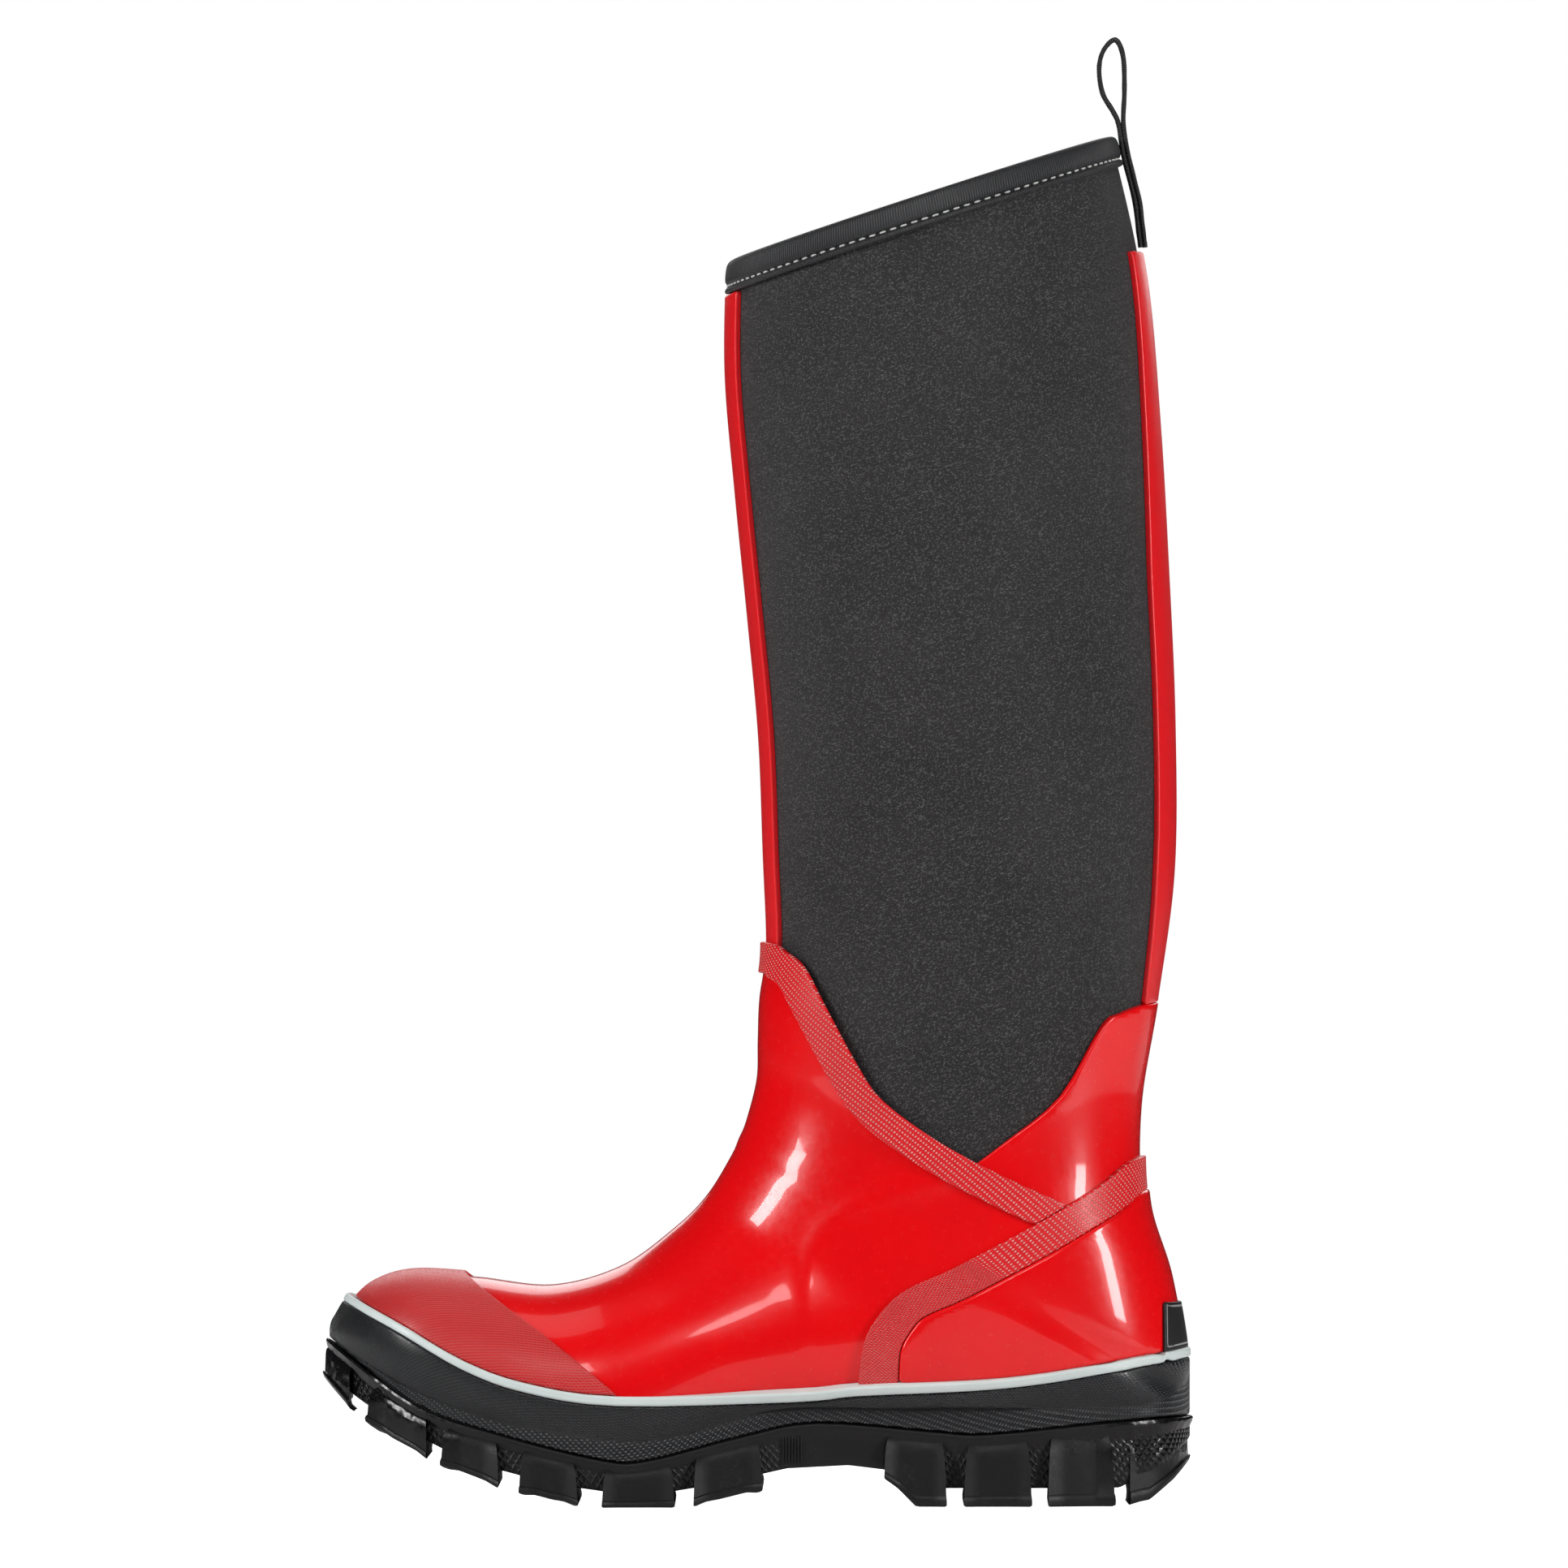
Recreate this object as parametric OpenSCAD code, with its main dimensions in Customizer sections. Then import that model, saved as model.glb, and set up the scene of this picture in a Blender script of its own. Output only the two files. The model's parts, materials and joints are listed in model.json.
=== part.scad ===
// Left rubber rain boot with a neoprene shaft, seen toe to -X, heel to +X, outer side to -Y.
// Origin: middle of the boot's box, on the ground. Every length is in millimetres.

/* [Overall size] */
// Length of the sole from toe to heel
boot_length = 285; // [240:1:340]
// Height of the top edge at the front of the shaft
shaft_height = 405; // [330:1:480]
// Width of the shaft at the calf, from side to side
shaft_width = 117.6; // [98:0.1:142]
// Width of the rubber foot at the ball, from side to side
ball_width = 104; // [88:1:124]

/* [Bootie] */
// Thickness of the neoprene
neoprene_wall = 4; // [2.5:0.1:5]
// Thickness of the knitted lining
lining_wall = 0.8; // [0.5:0.1:1.2]
// Gap left for cement between two layers
glue_gap = 0.2; // [0.15:0.05:0.3]

/* [Rubber foot] */
// Thickness of the vamp and the rear collar
rubber_wall = 2; // [1.6:0.1:3]
// Thickness of the toe and heel stiffeners
stiffener_wall = 0.8; // [0.5:0.1:1.2]
// Thickness of the two bands
band_wall = 1.5; // [1:0.1:2.4]
// Width of the band over the instep
instep_band_width = 10; // [8:0.5:13]
// Width of the band round the heel
heel_band_width = 10.5; // [8:0.5:13]
// Thickness of the toe cap
toe_cap_wall = 1.6; // [1:0.1:2.4]
// Thickness of the cover over the heel
heel_cover_wall = 2.4; // [1.5:0.1:3]
// Thickness of the patch on the heel
label_wall = 0.9; // [0.6:0.1:1.5]

/* [Shaft trim] */
// Thickness of the strips down the front and the back
strip_wall = 1.8; // [1.2:0.1:2.5]
// Width of the front strip that shows from the side
front_strip_depth = 3.6; // [2.8:0.1:6]
// Height of the binding on the outside
binding_height = 10.7; // [8:0.1:15]
// Thickness of the binding tape
binding_tape = 1.2; // [0.8:0.1:1.6]
// Distance from one stitch to the next
stitch_pitch = 3.6; // [3:0.1:6]
// Length of one stitch
stitch_length = 1.6; // [1:0.1:2.4]

/* [Pull loop] */
// Width of the webbing
webbing_width = 11; // [8:0.5:16]
// Thickness of the webbing
webbing_wall = 1.45; // [1:0.05:1.8]
// Height of the loop over its fold
loop_height = 30; // [24:1:40]
// Outside depth of the loop at its widest
loop_depth = 9; // [8:0.5:12]

/* [Sole] */
// Height of the lugs over the grooves between them
lug_height = 5; // [3:0.5:7]
// How far the lugs stand out past the foxing
lug_reach = 2.6; // [1.5:0.1:4]
// Thickness of the foxing
foxing_wall = 3.6; // [2.5:0.1:5]
// Height of the pale stripe
stripe_height = 3.2; // [2:0.1:5]
// How far the stripe stands out past the foxing
stripe_reach = 0.5; // [0.2:0.1:1]
// Thickness of the insole board
board_wall = 1.6; // [1:0.1:2.5]
// Thickness of the shank
shank_wall = 1.2; // [0.8:0.1:1.6]
// Thickness of the footbed foam
footbed_wall = 4.4; // [3:0.1:6]
// Thickness of the footbed's fabric
footbed_cover_wall = 0.8; // [0.5:0.1:1.2]
// Gap between the footbed and the boot round it
footbed_gap = 1.2; // [1:0.1:2]

/* [Hidden] */

// The side view is drawn for a boot of these sizes, and map() stretches it to the chosen ones.
drawn_length = 285;
drawn_height = 405;
drawn_shaft_width = 117.6;
drawn_ball_width = 104;
ankle = 200;
shaft_stretch = (shaft_height - ankle) / (drawn_height - ankle);
function map_x(x) = x * boot_length / drawn_length;
function map_z(z) = z < ankle ? z : ankle + (z - ankle) * shaft_stretch;
function map(p) = [map_x(p[0]), map_z(p[1])];

// Ribs of the bootie's outer surface, from above the top edge to the tip of the toe. In the side view
// each rib is a straight line from the back or the sole to the front or the instep.
// [back x, back z, front x, front z, half width, half width at the sole, middle y, roundness back, front]
RIBS = [
    [112.0, 456.0,   -7.2, 417.5, 57.0,  0.5,  0.0, 1.00, 1.00],
    [116.2, 443.0,   -7.9, 403.5, 57.5,  0.5,  0.0, 1.00, 1.00],
    [125.6, 400.0,   -8.3, 368.0, 58.8,  0.5,  0.0, 1.00, 1.00],
    [130.0, 352.0,   -4.9, 328.0, 58.6,  0.5,  0.0, 1.00, 1.00],
    [132.8, 303.0,   -0.9, 288.0, 56.6,  0.5,  0.0, 0.98, 0.98],
    [134.8, 255.0,    2.6, 250.0, 52.8,  0.5,  0.0, 0.95, 0.95],
    [134.6, 207.0,    4.1, 212.0, 48.6,  0.5,  0.0, 0.92, 0.92],
    [129.2, 165.0,    5.2, 181.0, 45.4,  0.5,  0.0, 0.90, 0.90],
    [123.6, 130.0,    3.2, 164.0, 43.2,  0.5,  0.0, 0.87, 0.88],
    [124.0,  98.0,    2.7, 151.0, 42.0,  0.5,  0.0, 0.84, 0.88],
    [131.2,  73.0,    2.3, 138.0, 42.0,  0.5,  0.0, 0.81, 0.90],
    [135.4,  46.0,   -1.2, 124.0, 42.6,  0.5,  0.0, 0.80, 0.92],
    [131.8,  37.5,   -3.6, 118.2, 42.9, 15.0,  0.0, 0.81, 0.94],
    [123.0,  33.0,   -6.2, 112.3, 43.2, 25.5,  0.0, 0.82, 0.95],
    [ 92.0,  31.5,  -14.3,  99.2, 42.6, 33.5, -0.5, 0.88, 0.95],
    [ 52.0,  31.0,  -25.0,  88.4, 41.6, 32.0, -2.0, 0.92, 0.95],
    [  6.0,  31.0,  -43.0,  75.6, 42.2, 35.5, -2.5, 0.92, 0.95],
    [-36.0,  21.5,  -66.0,  69.2, 45.8, 43.5,  0.0, 0.92, 0.92],
    [-74.0,  25.5,  -91.0,  71.6, 46.4, 45.2,  2.5, 0.92, 0.88],
    [-102.0, 35.0, -111.0,  72.6, 41.0, 39.0,  4.5, 0.92, 0.85],
    [-119.0, 44.5, -122.5,  69.4, 31.0, 28.0,  6.0, 0.92, 0.85],
    [-128.3, 51.3, -129.0,  63.6, 19.0, 16.5,  7.0, 0.92, 0.88],
    [-132.4, 55.5, -132.5,  58.0,  7.0,  5.5,  7.5, 0.92, 0.92]];
FIRST_FOOT_RIB = 11;
LAST_RIB = len(RIBS) - 1;
// The ribs that are drawn: few on the shaft, more round the heel and the toe
stations = [0, 1, 1.5, each [2:10], each [10.5:0.5:13], each [14:18], each [18.5:0.5:22]];
inner_stations = [for (u = stations) if (u <= LAST_RIB - 2 || u == LAST_RIB - 1) u];
// Points on each side of a rib
side_steps = 11;

// A smooth curve through the rows of a list, at u rows from its start
function row(list, i) = list[min(max(i, 0), len(list) - 1)];
function smooth(list, u) =
    let (i = min(floor(u), len(list) - 2), f = u - i,
         a = row(list, i - 1), b = row(list, i), c = row(list, i + 1), d = row(list, i + 2))
    0.5 * (2 * b + (c - a) * f + (2 * a - 5 * b + 4 * c - d) * f * f + (3 * b - a - 3 * c + d) * f * f * f);
function curve(list, steps = 2) =
    [for (i = [0:(len(list) - 1) * steps]) smooth(list, i / steps)];
function unit(v) = v / max(norm(v), 1e-9);
function reversed(list) = [for (i = [len(list) - 1:-1:0]) list[i]];

// The ring of points of one rib, from the sole on the outer side over the top to the inner side
function width_scale(u) =
    let (foot = min(max((u - 6) / 4, 0), 1))
    (1 - foot) * shaft_width / drawn_shaft_width + foot * ball_width / drawn_ball_width;
function ring(u) =
    let (r = smooth(RIBS, u), k = width_scale(u),
         back = map([r[0], r[1]]), front = map([r[2], r[3]]),
         half = r[4] * k, base = max(r[5] * k, 0.5), middle = r[6] * k,
         start = asin(min(pow(base / half, 1 / r[7]), 0.985)))
    [for (i = [0:2 * side_steps])
        let (side = i <= side_steps ? -1 : 1,
             f = i <= side_steps ? i / side_steps : 2 - i / side_steps,
             angle = start + (180 - start) * f,
             t = (cos(start) - cos(angle)) / (cos(start) + 1),
             p = back + (front - back) * t,
             y = half * pow(max(sin(angle), 0), r[7] + (r[8] - r[7]) * t))
        [p[0], middle + side * y, p[1]]];

// The same ring moved out by d, along the surface's own normal
function surface_normal(g, j, i, n, m) =
    let (along = g[min(j + 1, n)][i] - g[max(j - 1, 0)][i],
         round = g[j][min(i + 1, m)] - g[j][max(i - 1, 0)])
    unit(cross(round, along));
function base_normal(g, j, n, m) =
    let (along = (g[min(j + 1, n)][0] + g[min(j + 1, n)][m] - g[max(j - 1, 0)][0] - g[max(j - 1, 0)][m]))
    unit([-along[2], 0, along[0]]);
function moved(g, d) =
    let (n = len(g) - 1, m = len(g[0]) - 1)
    [for (j = [0:n])
        [for (i = [0:m])
            let (a = surface_normal(g, j, i, n, m),
                 b = base_normal(g, j, n, m),
                 edge = i == 0 || i == m)
            g[j][i] + d * (edge ? (a + b) / max(1 + a * b, 0.4) : a)]];
function mean(points) = [for (a = [0:2]) [for (p = points) p[a]] * [for (p = points) 1] / len(points)];

// A closed solid of the whole boot, out to d past the bootie's outer surface. With a skirt its walls
// run straight down past the sole line, so the difference of two such solids has no floor.
skirt_drop = 18;
function skirted(g, us) =
    [for (j = [0:len(g) - 1])
        let (drop = [0, 0, us[j] < FIRST_FOOT_RIB ? 0.01 : skirt_drop], m = len(g[j]) - 1)
        concat([g[j][0] - drop], g[j], [g[j][m] - drop])];
function upright(g, d) = // keeps the sole's edge at its own height
    let (n = len(g) - 1, m = len(g[0]) - 1)
    [for (j = [0:n]) [for (i = [0:m])
        let (a = surface_normal(g, j, i, n, m), flat = unit([a[0], a[1], 0]))
        g[j][i] + d * ((i == 0 || i == m) && abs(g[j][0][1] - g[j][m][1]) > 3 ? flat : a)]];
module boot_solid(d, skirt = false) {
    us = d < 0 ? inner_stations : stations;
    plain = [for (u = us) ring(u)];
    grown = skirt ? skirted(upright(plain, d), us) : moved(plain, d);
    n = len(grown);
    m = len(grown[0]);
    toe_shift = [d < 0 ? -d : 0, 0, 0];
    rings = [for (j = [0:n - 1]) [for (p = grown[j]) j == n - 1 ? p + toe_shift : p]];
    points = concat([for (r = rings) each r],
                    [mean(rings[0]), mean(rings[n - 1]) - [max(d, 0) * 0.1, 0, 0]]);
    sides = [for (j = [0:n - 2], i = [0:m - 1])
        let (a = j * m + i, b = j * m + (i + 1) % m, c = a + m, e = b + m) each [[a, e, b], [a, c, e]]];
    caps = [for (i = [0:m - 1]) let (k = (i + 1) % m)
        each [[n * m, i, k], [n * m + 1, (n - 1) * m + k, (n - 1) * m + i]]];
    polyhedron(points, concat(sides, caps));
}

// Prisms through the boot: side_prism from an outline in the side view, plan_prism from one in plan
reach = 600;
module side_prism(points) rotate([90, 0, 0]) linear_extrude(reach, center = true) polygon(points);
module plan_prism(points) linear_extrude(2 * reach, center = true) polygon(points);
// A layer of the upper between two distances from the bootie, cut out by an outline in the side view.
// Its children are taken away.
module layer(inner, outer, outline, skirt = true)
    resize([0, 0, 0]) difference() {
        intersection() {
            boot_solid(outer, skirt);
            side_prism(outline);
        }
        boot_solid(inner, skirt);
        children();
    }

// Edges drawn in the side view. beside() is the edge that runs along another at a distance.
function mapped(list) = [for (p = list) map(p)];
function beside(list, d0, d1) =
    let (n = len(list) - 1)
    [for (i = [0:n])
        let (t = unit(list[min(i + 1, n)] - list[max(i - 1, 0)]), f = i / n,
             d = d0 + ((is_undef(d1) ? d0 : d1) - d0) * max(0, f * 2.5 - 1.5))
        list[i] + d * [t[1], -t[0]]];
INSTEP_TOP = curve(mapped([[-160, 188], [-30, 185], [2, 183], [9, 180], [15, 175], [21, 164], [32, 144], [41, 131.5],
                           [60, 118], [81, 107], [101, 98], [122, 89]]));
INSTEP_MID = beside(INSTEP_TOP, instep_band_width / 2);
INSTEP_LOW = beside(INSTEP_TOP, instep_band_width);
HEEL_TOP = curve(mapped([[160, 114], [127, 113.4], [112, 104], [91, 91.7], [64, 77.5], [51, 71.8],
                         [43, 66], [36, 56], [33.5, 44], [33, 28]]));
HEEL_MID = beside(HEEL_TOP, -heel_band_width / 2, -heel_band_width * 0.65);
HEEL_LOW = beside(HEEL_TOP, -heel_band_width, -heel_band_width * 1.3);
COLLAR_TOP = curve(mapped([[160, 164.5], [131.8, 163.3], [119, 159.7], [113, 155.5], [99.4, 133],
                           [80.6, 118], [64, 106]]));
TOE_CAP_EDGE = curve(mapped([[-99, 86], [-93.8, 75], [-65, 53], [-45.7, 37], [-36, 29]]));
STRIPE_TOP = curve(mapped([[-160, 84], [-131, 67.6], [-115.5, 59.3], [-95, 47.6], [-75, 40.5], [-45, 36.1],
                           [13, 37], [33, 38.9], [69, 40.5], [94, 43], [119.5, 47.4], [160, 54.5]]));
FOXING_LOW = curve(mapped([[-160, 70], [-137.7, 52.7], [-110.5, 33.3], [-85, 24.3], [-50, 15.6],
                           [-34.5, 15.6], [-4, 23.3], [20, 27.6], [58, 24.6], [76, 23.8], [120, 28],
                           [160, 30]]));
function lowered(list, d) = [for (p = list) p - [0, d]];
// Outlines between two edges, or from an edge to far above, below or in front of it
function between(a, b) = concat(a, reversed(b));
function above(list) = concat(list, [[list[len(list) - 1][0], 2 * reach], [list[0][0], 2 * reach]]);
function below(list) = concat(list, [[list[len(list) - 1][0], -reach], [list[0][0], -reach]]);
function before(list) = concat(list, [[list[len(list) - 1][0], -reach], [-reach, -reach], [-reach, reach],
                                      [list[0][0], reach]]);

// Distances from the bootie's outer surface
upper_in = glue_gap;
upper_out = upper_in + rubber_wall;
stiffener_out = upper_in + stiffener_wall;
band_in = upper_out + glue_gap;
band_out = band_in + band_wall;
cap_out = band_in + toe_cap_wall;
cover_out = band_in + heel_cover_wall;
foxing_in = band_in;
foxing_out = foxing_in + foxing_wall;
lining_out = -neoprene_wall - glue_gap;
lining_in = lining_out - lining_wall;
strip_out = upper_in + strip_wall;

// The top edge slopes up towards the back
top_rise = 0.326;
function top_z(x) = shaft_height + (x + 9) * top_rise;
function top_edge(d) = [for (x = [-reach, reach]) [x, top_z(x) - d]];
binding_out = glue_gap + binding_tape;
binding_in = lining_in - glue_gap - binding_tape;

// ---- Bootie ----
module bootie_half(side)
    resize([0, 0, 0]) intersection() {
        difference() {
            boot_solid(0);
            boot_solid(-neoprene_wall);
        }
        side_prism(below(top_edge(binding_tape + glue_gap)));
        translate([0, side * (reach / 2 + glue_gap / 2), 0]) cube([2 * reach, reach, 3 * reach], center = true);
    }
module neoprene_lateral() color("#35373a") bootie_half(-1);
module neoprene_medial() color("#3b3d40") bootie_half(1);
module sock_lining()
    color("#1d1d20") layer(lining_in, lining_out, below(top_edge(binding_tape + glue_gap)), false);

// ---- Rubber foot ----
half_gap = glue_gap / 2;
function raised(list, d) = lowered(list, -d);
// The rubber under the foxing stops just over the line of the sole
upper_turn = 7;
UPPER_LOW = raised(FOXING_LOW, upper_turn);
puff_overlap = 6;
PUFF_EDGE = [for (p = TOE_CAP_EDGE) p - [puff_overlap, 0]];
STRIPE_CLEAR = raised(STRIPE_TOP, glue_gap);

module toe_puff() color("#7b6f5c")
    layer(upper_in, upper_in + stiffener_wall, before(PUFF_EDGE)) side_prism(below(UPPER_LOW));
module heel_stiffener() color("#6f6759")
    layer(upper_in, upper_out, below(beside(HEEL_MID, -half_gap))) side_prism(below(UPPER_LOW));
module vamp() color("#d8121c")
    layer(upper_in, upper_out, below(beside(INSTEP_MID, half_gap))) {
        side_prism(below(beside(HEEL_MID, half_gap)));
        side_prism(below(UPPER_LOW));
        layer(-glue_gap, upper_in + stiffener_wall + glue_gap, before(raised(PUFF_EDGE, glue_gap)));
    }
module rear_collar() color("#cf0f1a")
    layer(upper_in, upper_out, below(COLLAR_TOP)) {
        side_prism(below(beside(INSTEP_MID, -half_gap)));
        side_prism(below(beside(HEEL_MID, half_gap)));
    }
module instep_band() color("#c21520")
    layer(band_in, band_out, between(INSTEP_TOP, INSTEP_LOW))
        side_prism(below(beside(HEEL_TOP, glue_gap)));
module heel_band() color("#c21520")
    layer(band_in, band_out, between(HEEL_TOP, HEEL_LOW)) side_prism(below(STRIPE_CLEAR));
module heel_cover() color("#d8121c")
    layer(band_in, cover_out, below(beside(HEEL_LOW, -glue_gap))) side_prism(below(STRIPE_CLEAR));
module toe_cap() color("#c21520")
    layer(band_in, cap_out, before(TOE_CAP_EDGE)) side_prism(below(STRIPE_CLEAR));

// The patch over the back of the heel, above the stripe
label_front = 133;
label_low = 50;
label_high = 66;
LABEL = mapped([[label_front, label_low], [160, label_low], [160, label_high], [label_front, label_high]]);
module heel_label() color("#1c1c1e")
    layer(cover_out + glue_gap, cover_out + glue_gap + label_wall, LABEL) side_prism(below(STRIPE_CLEAR));

// ---- Foxing ----
module foxing() color("#232427")
    layer(foxing_in, foxing_out, between(lowered(STRIPE_TOP, stripe_height + glue_gap), FOXING_LOW));
module foxing_stripe() color("#e3e8e6")
    layer(foxing_in, foxing_out + stripe_reach, between(STRIPE_TOP, lowered(STRIPE_TOP, stripe_height)));

// ---- Shaft trim ----
// Lines of the front and the back of the bootie, from the top down
function front_line(dx) =
    [for (u = [0:0.5:9]) let (r = smooth(RIBS, u), p = map([r[2], r[3]])) p + [dx, 0]];
function back_line() = [for (u = [0:0.5:10]) let (r = smooth(RIBS, u)) map([r[0], r[1]])];
front_strip_top = [[-30, 389], [-4, 396.4], [30, 400]];
module front_strip() color("#c9141e")
    layer(upper_in, strip_out, before(front_line(front_strip_depth - strip_out))) {
        side_prism(above(mapped(front_strip_top)));
        side_prism(above(top_edge(binding_height + glue_gap)));
        side_prism(below(beside(INSTEP_MID, -half_gap)));
    }
// How much of the back strip shows from the side, at each height of the drawn boot
BACK_STRIP = [[150, 4], [165, 4], [205, 6], [300, 6.2], [370, 4.6], [408, 3.7]];
strip_end = 408;
module back_strip() color("#c9141e")
    layer(upper_in, strip_out,
          [for (p = back_line()) p + [strip_out - lookup(p[1], mapped_heights(BACK_STRIP)), 0],
           each [[reach, 100], [reach, reach]]]) {
        side_prism([[0, map_z(strip_end)], [reach, map_z(strip_end)], [reach, reach], [0, reach]]);
        side_prism(below(raised(COLLAR_TOP, glue_gap)));
    }
function mapped_heights(list) = [for (p = list) [map_z(p[0]), p[1]]];
module top_binding() color("#19191c")
    resize([0, 0, 0]) difference() {
        intersection() {
            boot_solid(binding_out);
            side_prism(between(top_edge(0), top_edge(binding_height)));
        }
        boot_solid(binding_in);
        intersection() {
            difference() {
                boot_solid(glue_gap);
                boot_solid(lining_in - glue_gap);
            }
            side_prism(below(top_edge(binding_tape)));
        }
    }

// Stitches along the binding, one after another round the opening
stitch_rise = 2.6;
stitch_width = 0.7;
stitch_wall = 0.35;
stitch_lift = 0.06;
function edge_ring(d, drop) = // the ring at a distance under the top edge, on the drawn facets
    let (a = moved([ring(0), ring(1), ring(1.5), ring(2)], d))
    [for (i = [0:2 * side_steps])
        let (hits = [for (j = [0:2])
                let (p = a[j][i], q = a[j + 1][i],
                     hp = p[2] - top_z(p[0]) + drop, hq = q[2] - top_z(q[0]) + drop)
                if (hp >= 0 && hq < 0) p + (q - p) * hp / (hp - hq)])
        hits[0]];
module binding_stitches() color("#d9d9d6") {
    path = edge_ring(binding_out + stitch_lift + stitch_wall / 2, binding_height - stitch_rise);
    n = len(path);
    lengths = [for (i = [0:n - 2]) norm(path[i + 1] - path[i])];
    for (i = [0:n - 2]) {
        count = max(1, round(lengths[i] / stitch_pitch));
        t = unit(path[i + 1] - path[i]);
        out = unit(cross(t, [0, 0, 1]));
        up = cross(out, t);
        for (k = [0:count - 1]) {
            c = path[i] + t * lengths[i] * (k + 0.5) / count;
            under_tail = c[0] > 0 && abs(c[1]) < webbing_width / 2 + stitch_length;
            if (!under_tail)
            multmatrix([[t[0], out[0], up[0], c[0]], [t[1], out[1], up[1], c[1]],
                        [t[2], out[2], up[2], c[2]], [0, 0, 0, 1]])
                cube([stitch_length, stitch_wall, stitch_width], center = true);
        }
    }
}

// ---- Pull loop ----
// The webbing is folded double. Its two ends run down the back, and its bight stands over the fold.
tail_in = binding_out + glue_gap;
tail_wall = 2 * webbing_wall;
fold_x = map_x(115.9) + tail_in + tail_wall / 2;
fold_z = top_z(map_x(115.6)) + 2.2;
fold_clear = 1.9;
tail_reach = 8;
module pull_loop_tail() color("#17171a")
    resize([0, 0, 0]) intersection() {
        difference() {
            boot_solid(tail_in + tail_wall);
            boot_solid(tail_in);
        }
        translate([fold_x - tail_reach, -reach, map_z(strip_end) + 0.5])
            cube([reach, 2 * reach, fold_z - fold_clear - map_z(strip_end) - 0.5]);
        cube([4 * reach, webbing_width, 4 * reach], center = true);
    }
leg = webbing_wall / 2 + 0.08;
LOOP = [[leg, fold_clear], [leg + 0.35, 13], [leg - 0.1, 24], [-1.8, 29.3], [-5.6, 26], [-7.1, 20],
        [-6, 12], [-2.6, 6], [-leg, fold_clear]];
module pull_loop() color("#17171a") {
    centre = curve([for (p = LOOP) [p[0] < -leg ? p[0] * (loop_depth - webbing_wall) / 7.55 : p[0],
                                    fold_clear + (p[1] - fold_clear) * (loop_height - fold_clear) / 28.1]], 3);
    translate([fold_x, 0, fold_z]) rotate([90, 0, 0]) linear_extrude(webbing_width, center = true)
        polygon(between(beside(centre, -webbing_wall / 2), beside(centre, webbing_wall / 2)));
}

// ---- Sole ----
// Heights along the sole, by place from toe to heel
foot_stations = [for (u = stations) if (u >= FIRST_FOOT_RIB) u];
SOLE_LINE = [for (u = reversed(foot_stations)) let (r = smooth(RIBS, u)) map([r[0], r[1]])];
function level(list, x) = lookup(x, list);
// Ground line of the lugs: the toe springs up, and the heel's back edge is lifted a little
GROUND = curve(mapped([[-150, 56], [-141, 41], [-132, 31.5], [-118, 22], [-102, 14], [-85, 7.6], [-66, 2.6],
                       [-48, 0], [-38, 0], [-28, 0], [-12, 2.6], [4, 6.5], [28, 11]]), 1);
HEEL_GROUND = mapped([[36, 13], [42.5, 9.5], [52, 0], [117, 0], [128, 2], [136, 8.5], [143, 16], [150, 26]]);
GROOVES = concat(raised([for (p = GROUND) if (p[0] < map_x(0)) p], lug_height),
                 mapped([[10, 12.5], [30, 13.5], [42, 12]]),
                 [[map_x(55), lug_height + 1], [map_x(118), lug_height + 1],
                  [map_x(132), lug_height + 8], [map_x(150), lug_height + 24]]);
LUGS = [[-146, -132.5], [-124.5, -106.5], [-101, -84], [-75.5, -58], [-49, -27.5], [-20, 1]];
HEEL_LUGS = [[42.5, 61], [69, 88], [95.5, 115.5], [121.5, 146]];
function sole_outline(d0, heel_d) = // the bootie's own sole line moved out, less at the heel if it says so
    let (heel = is_undef(heel_d) ? d0 : heel_d,
         half = [for (u = foot_stations)
            let (r = smooth(RIBS, u), k = width_scale(u)) [map_x(r[0]), r[6] * k, max(r[5] * k, 0.5)]],
         loop = concat([for (p = half) [p[0], p[1] - p[2]]], [for (p = reversed(half)) [p[0], p[1] + p[2]]]),
         n = len(loop))
    [for (i = [0:n - 1])
        let (t = unit(loop[(i + 1) % n] - loop[(i + n - 1) % n]),
             f = min(max((loop[i][0] - map_x(95)) / 35, 0), 1), d = d0 + (heel - d0) * f)
        loop[i] + d * [-t[1], t[0]]];
// A slab of the sole between two lines in the side view, over a stretch of its length
slab_step = 9;
function slab(x0, x1, low, high, low_up = 0, high_up = 0) =
    let (n = max(1, round((x1 - x0) / slab_step)), xs = [for (i = [0:n]) x0 + (x1 - x0) * i / n])
    concat([for (x = xs) [x, level(low, x) + low_up]], [for (x = reversed(xs)) [x, level(high, x) + high_up]]);
sole_toe = map_x(-150);
sole_heel = map_x(150);
pocket_depth = 6.5;
pocket_toe = map_x(-122);
pocket_heel = map_x(128);
midsole_reach = upper_out;
// Gap left for cement between the sole's own layers, which are cut in straight steps
foxing_gap = 2 * glue_gap;
module outsole() color("#1b1c1f") difference() {
    union() {
        intersection() {
            side_prism(slab(sole_toe, sole_heel, GROOVES, FOXING_LOW, 0, -foxing_gap));
            plan_prism(sole_outline(foxing_out + 0.2));
        }
        for (lug = concat([for (l = LUGS) [l[0], l[1], 0]], [for (l = HEEL_LUGS) [l[0], l[1], 1]]))
            intersection() {
                side_prism(slab(map_x(lug[0]), map_x(lug[1]), lug[2] == 0 ? GROUND : HEEL_GROUND,
                                FOXING_LOW, 0, -1.2));
                plan_prism(sole_outline(foxing_out + lug_reach, foxing_out + 0.6));
            }
    }
    intersection() {
        side_prism(slab(pocket_toe - glue_gap, pocket_heel + glue_gap, FOXING_LOW, FOXING_LOW,
                        -pocket_depth - glue_gap, 40));
        plan_prism(sole_outline(midsole_reach + glue_gap));
    }
}
board_top = 3 * glue_gap;
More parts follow.
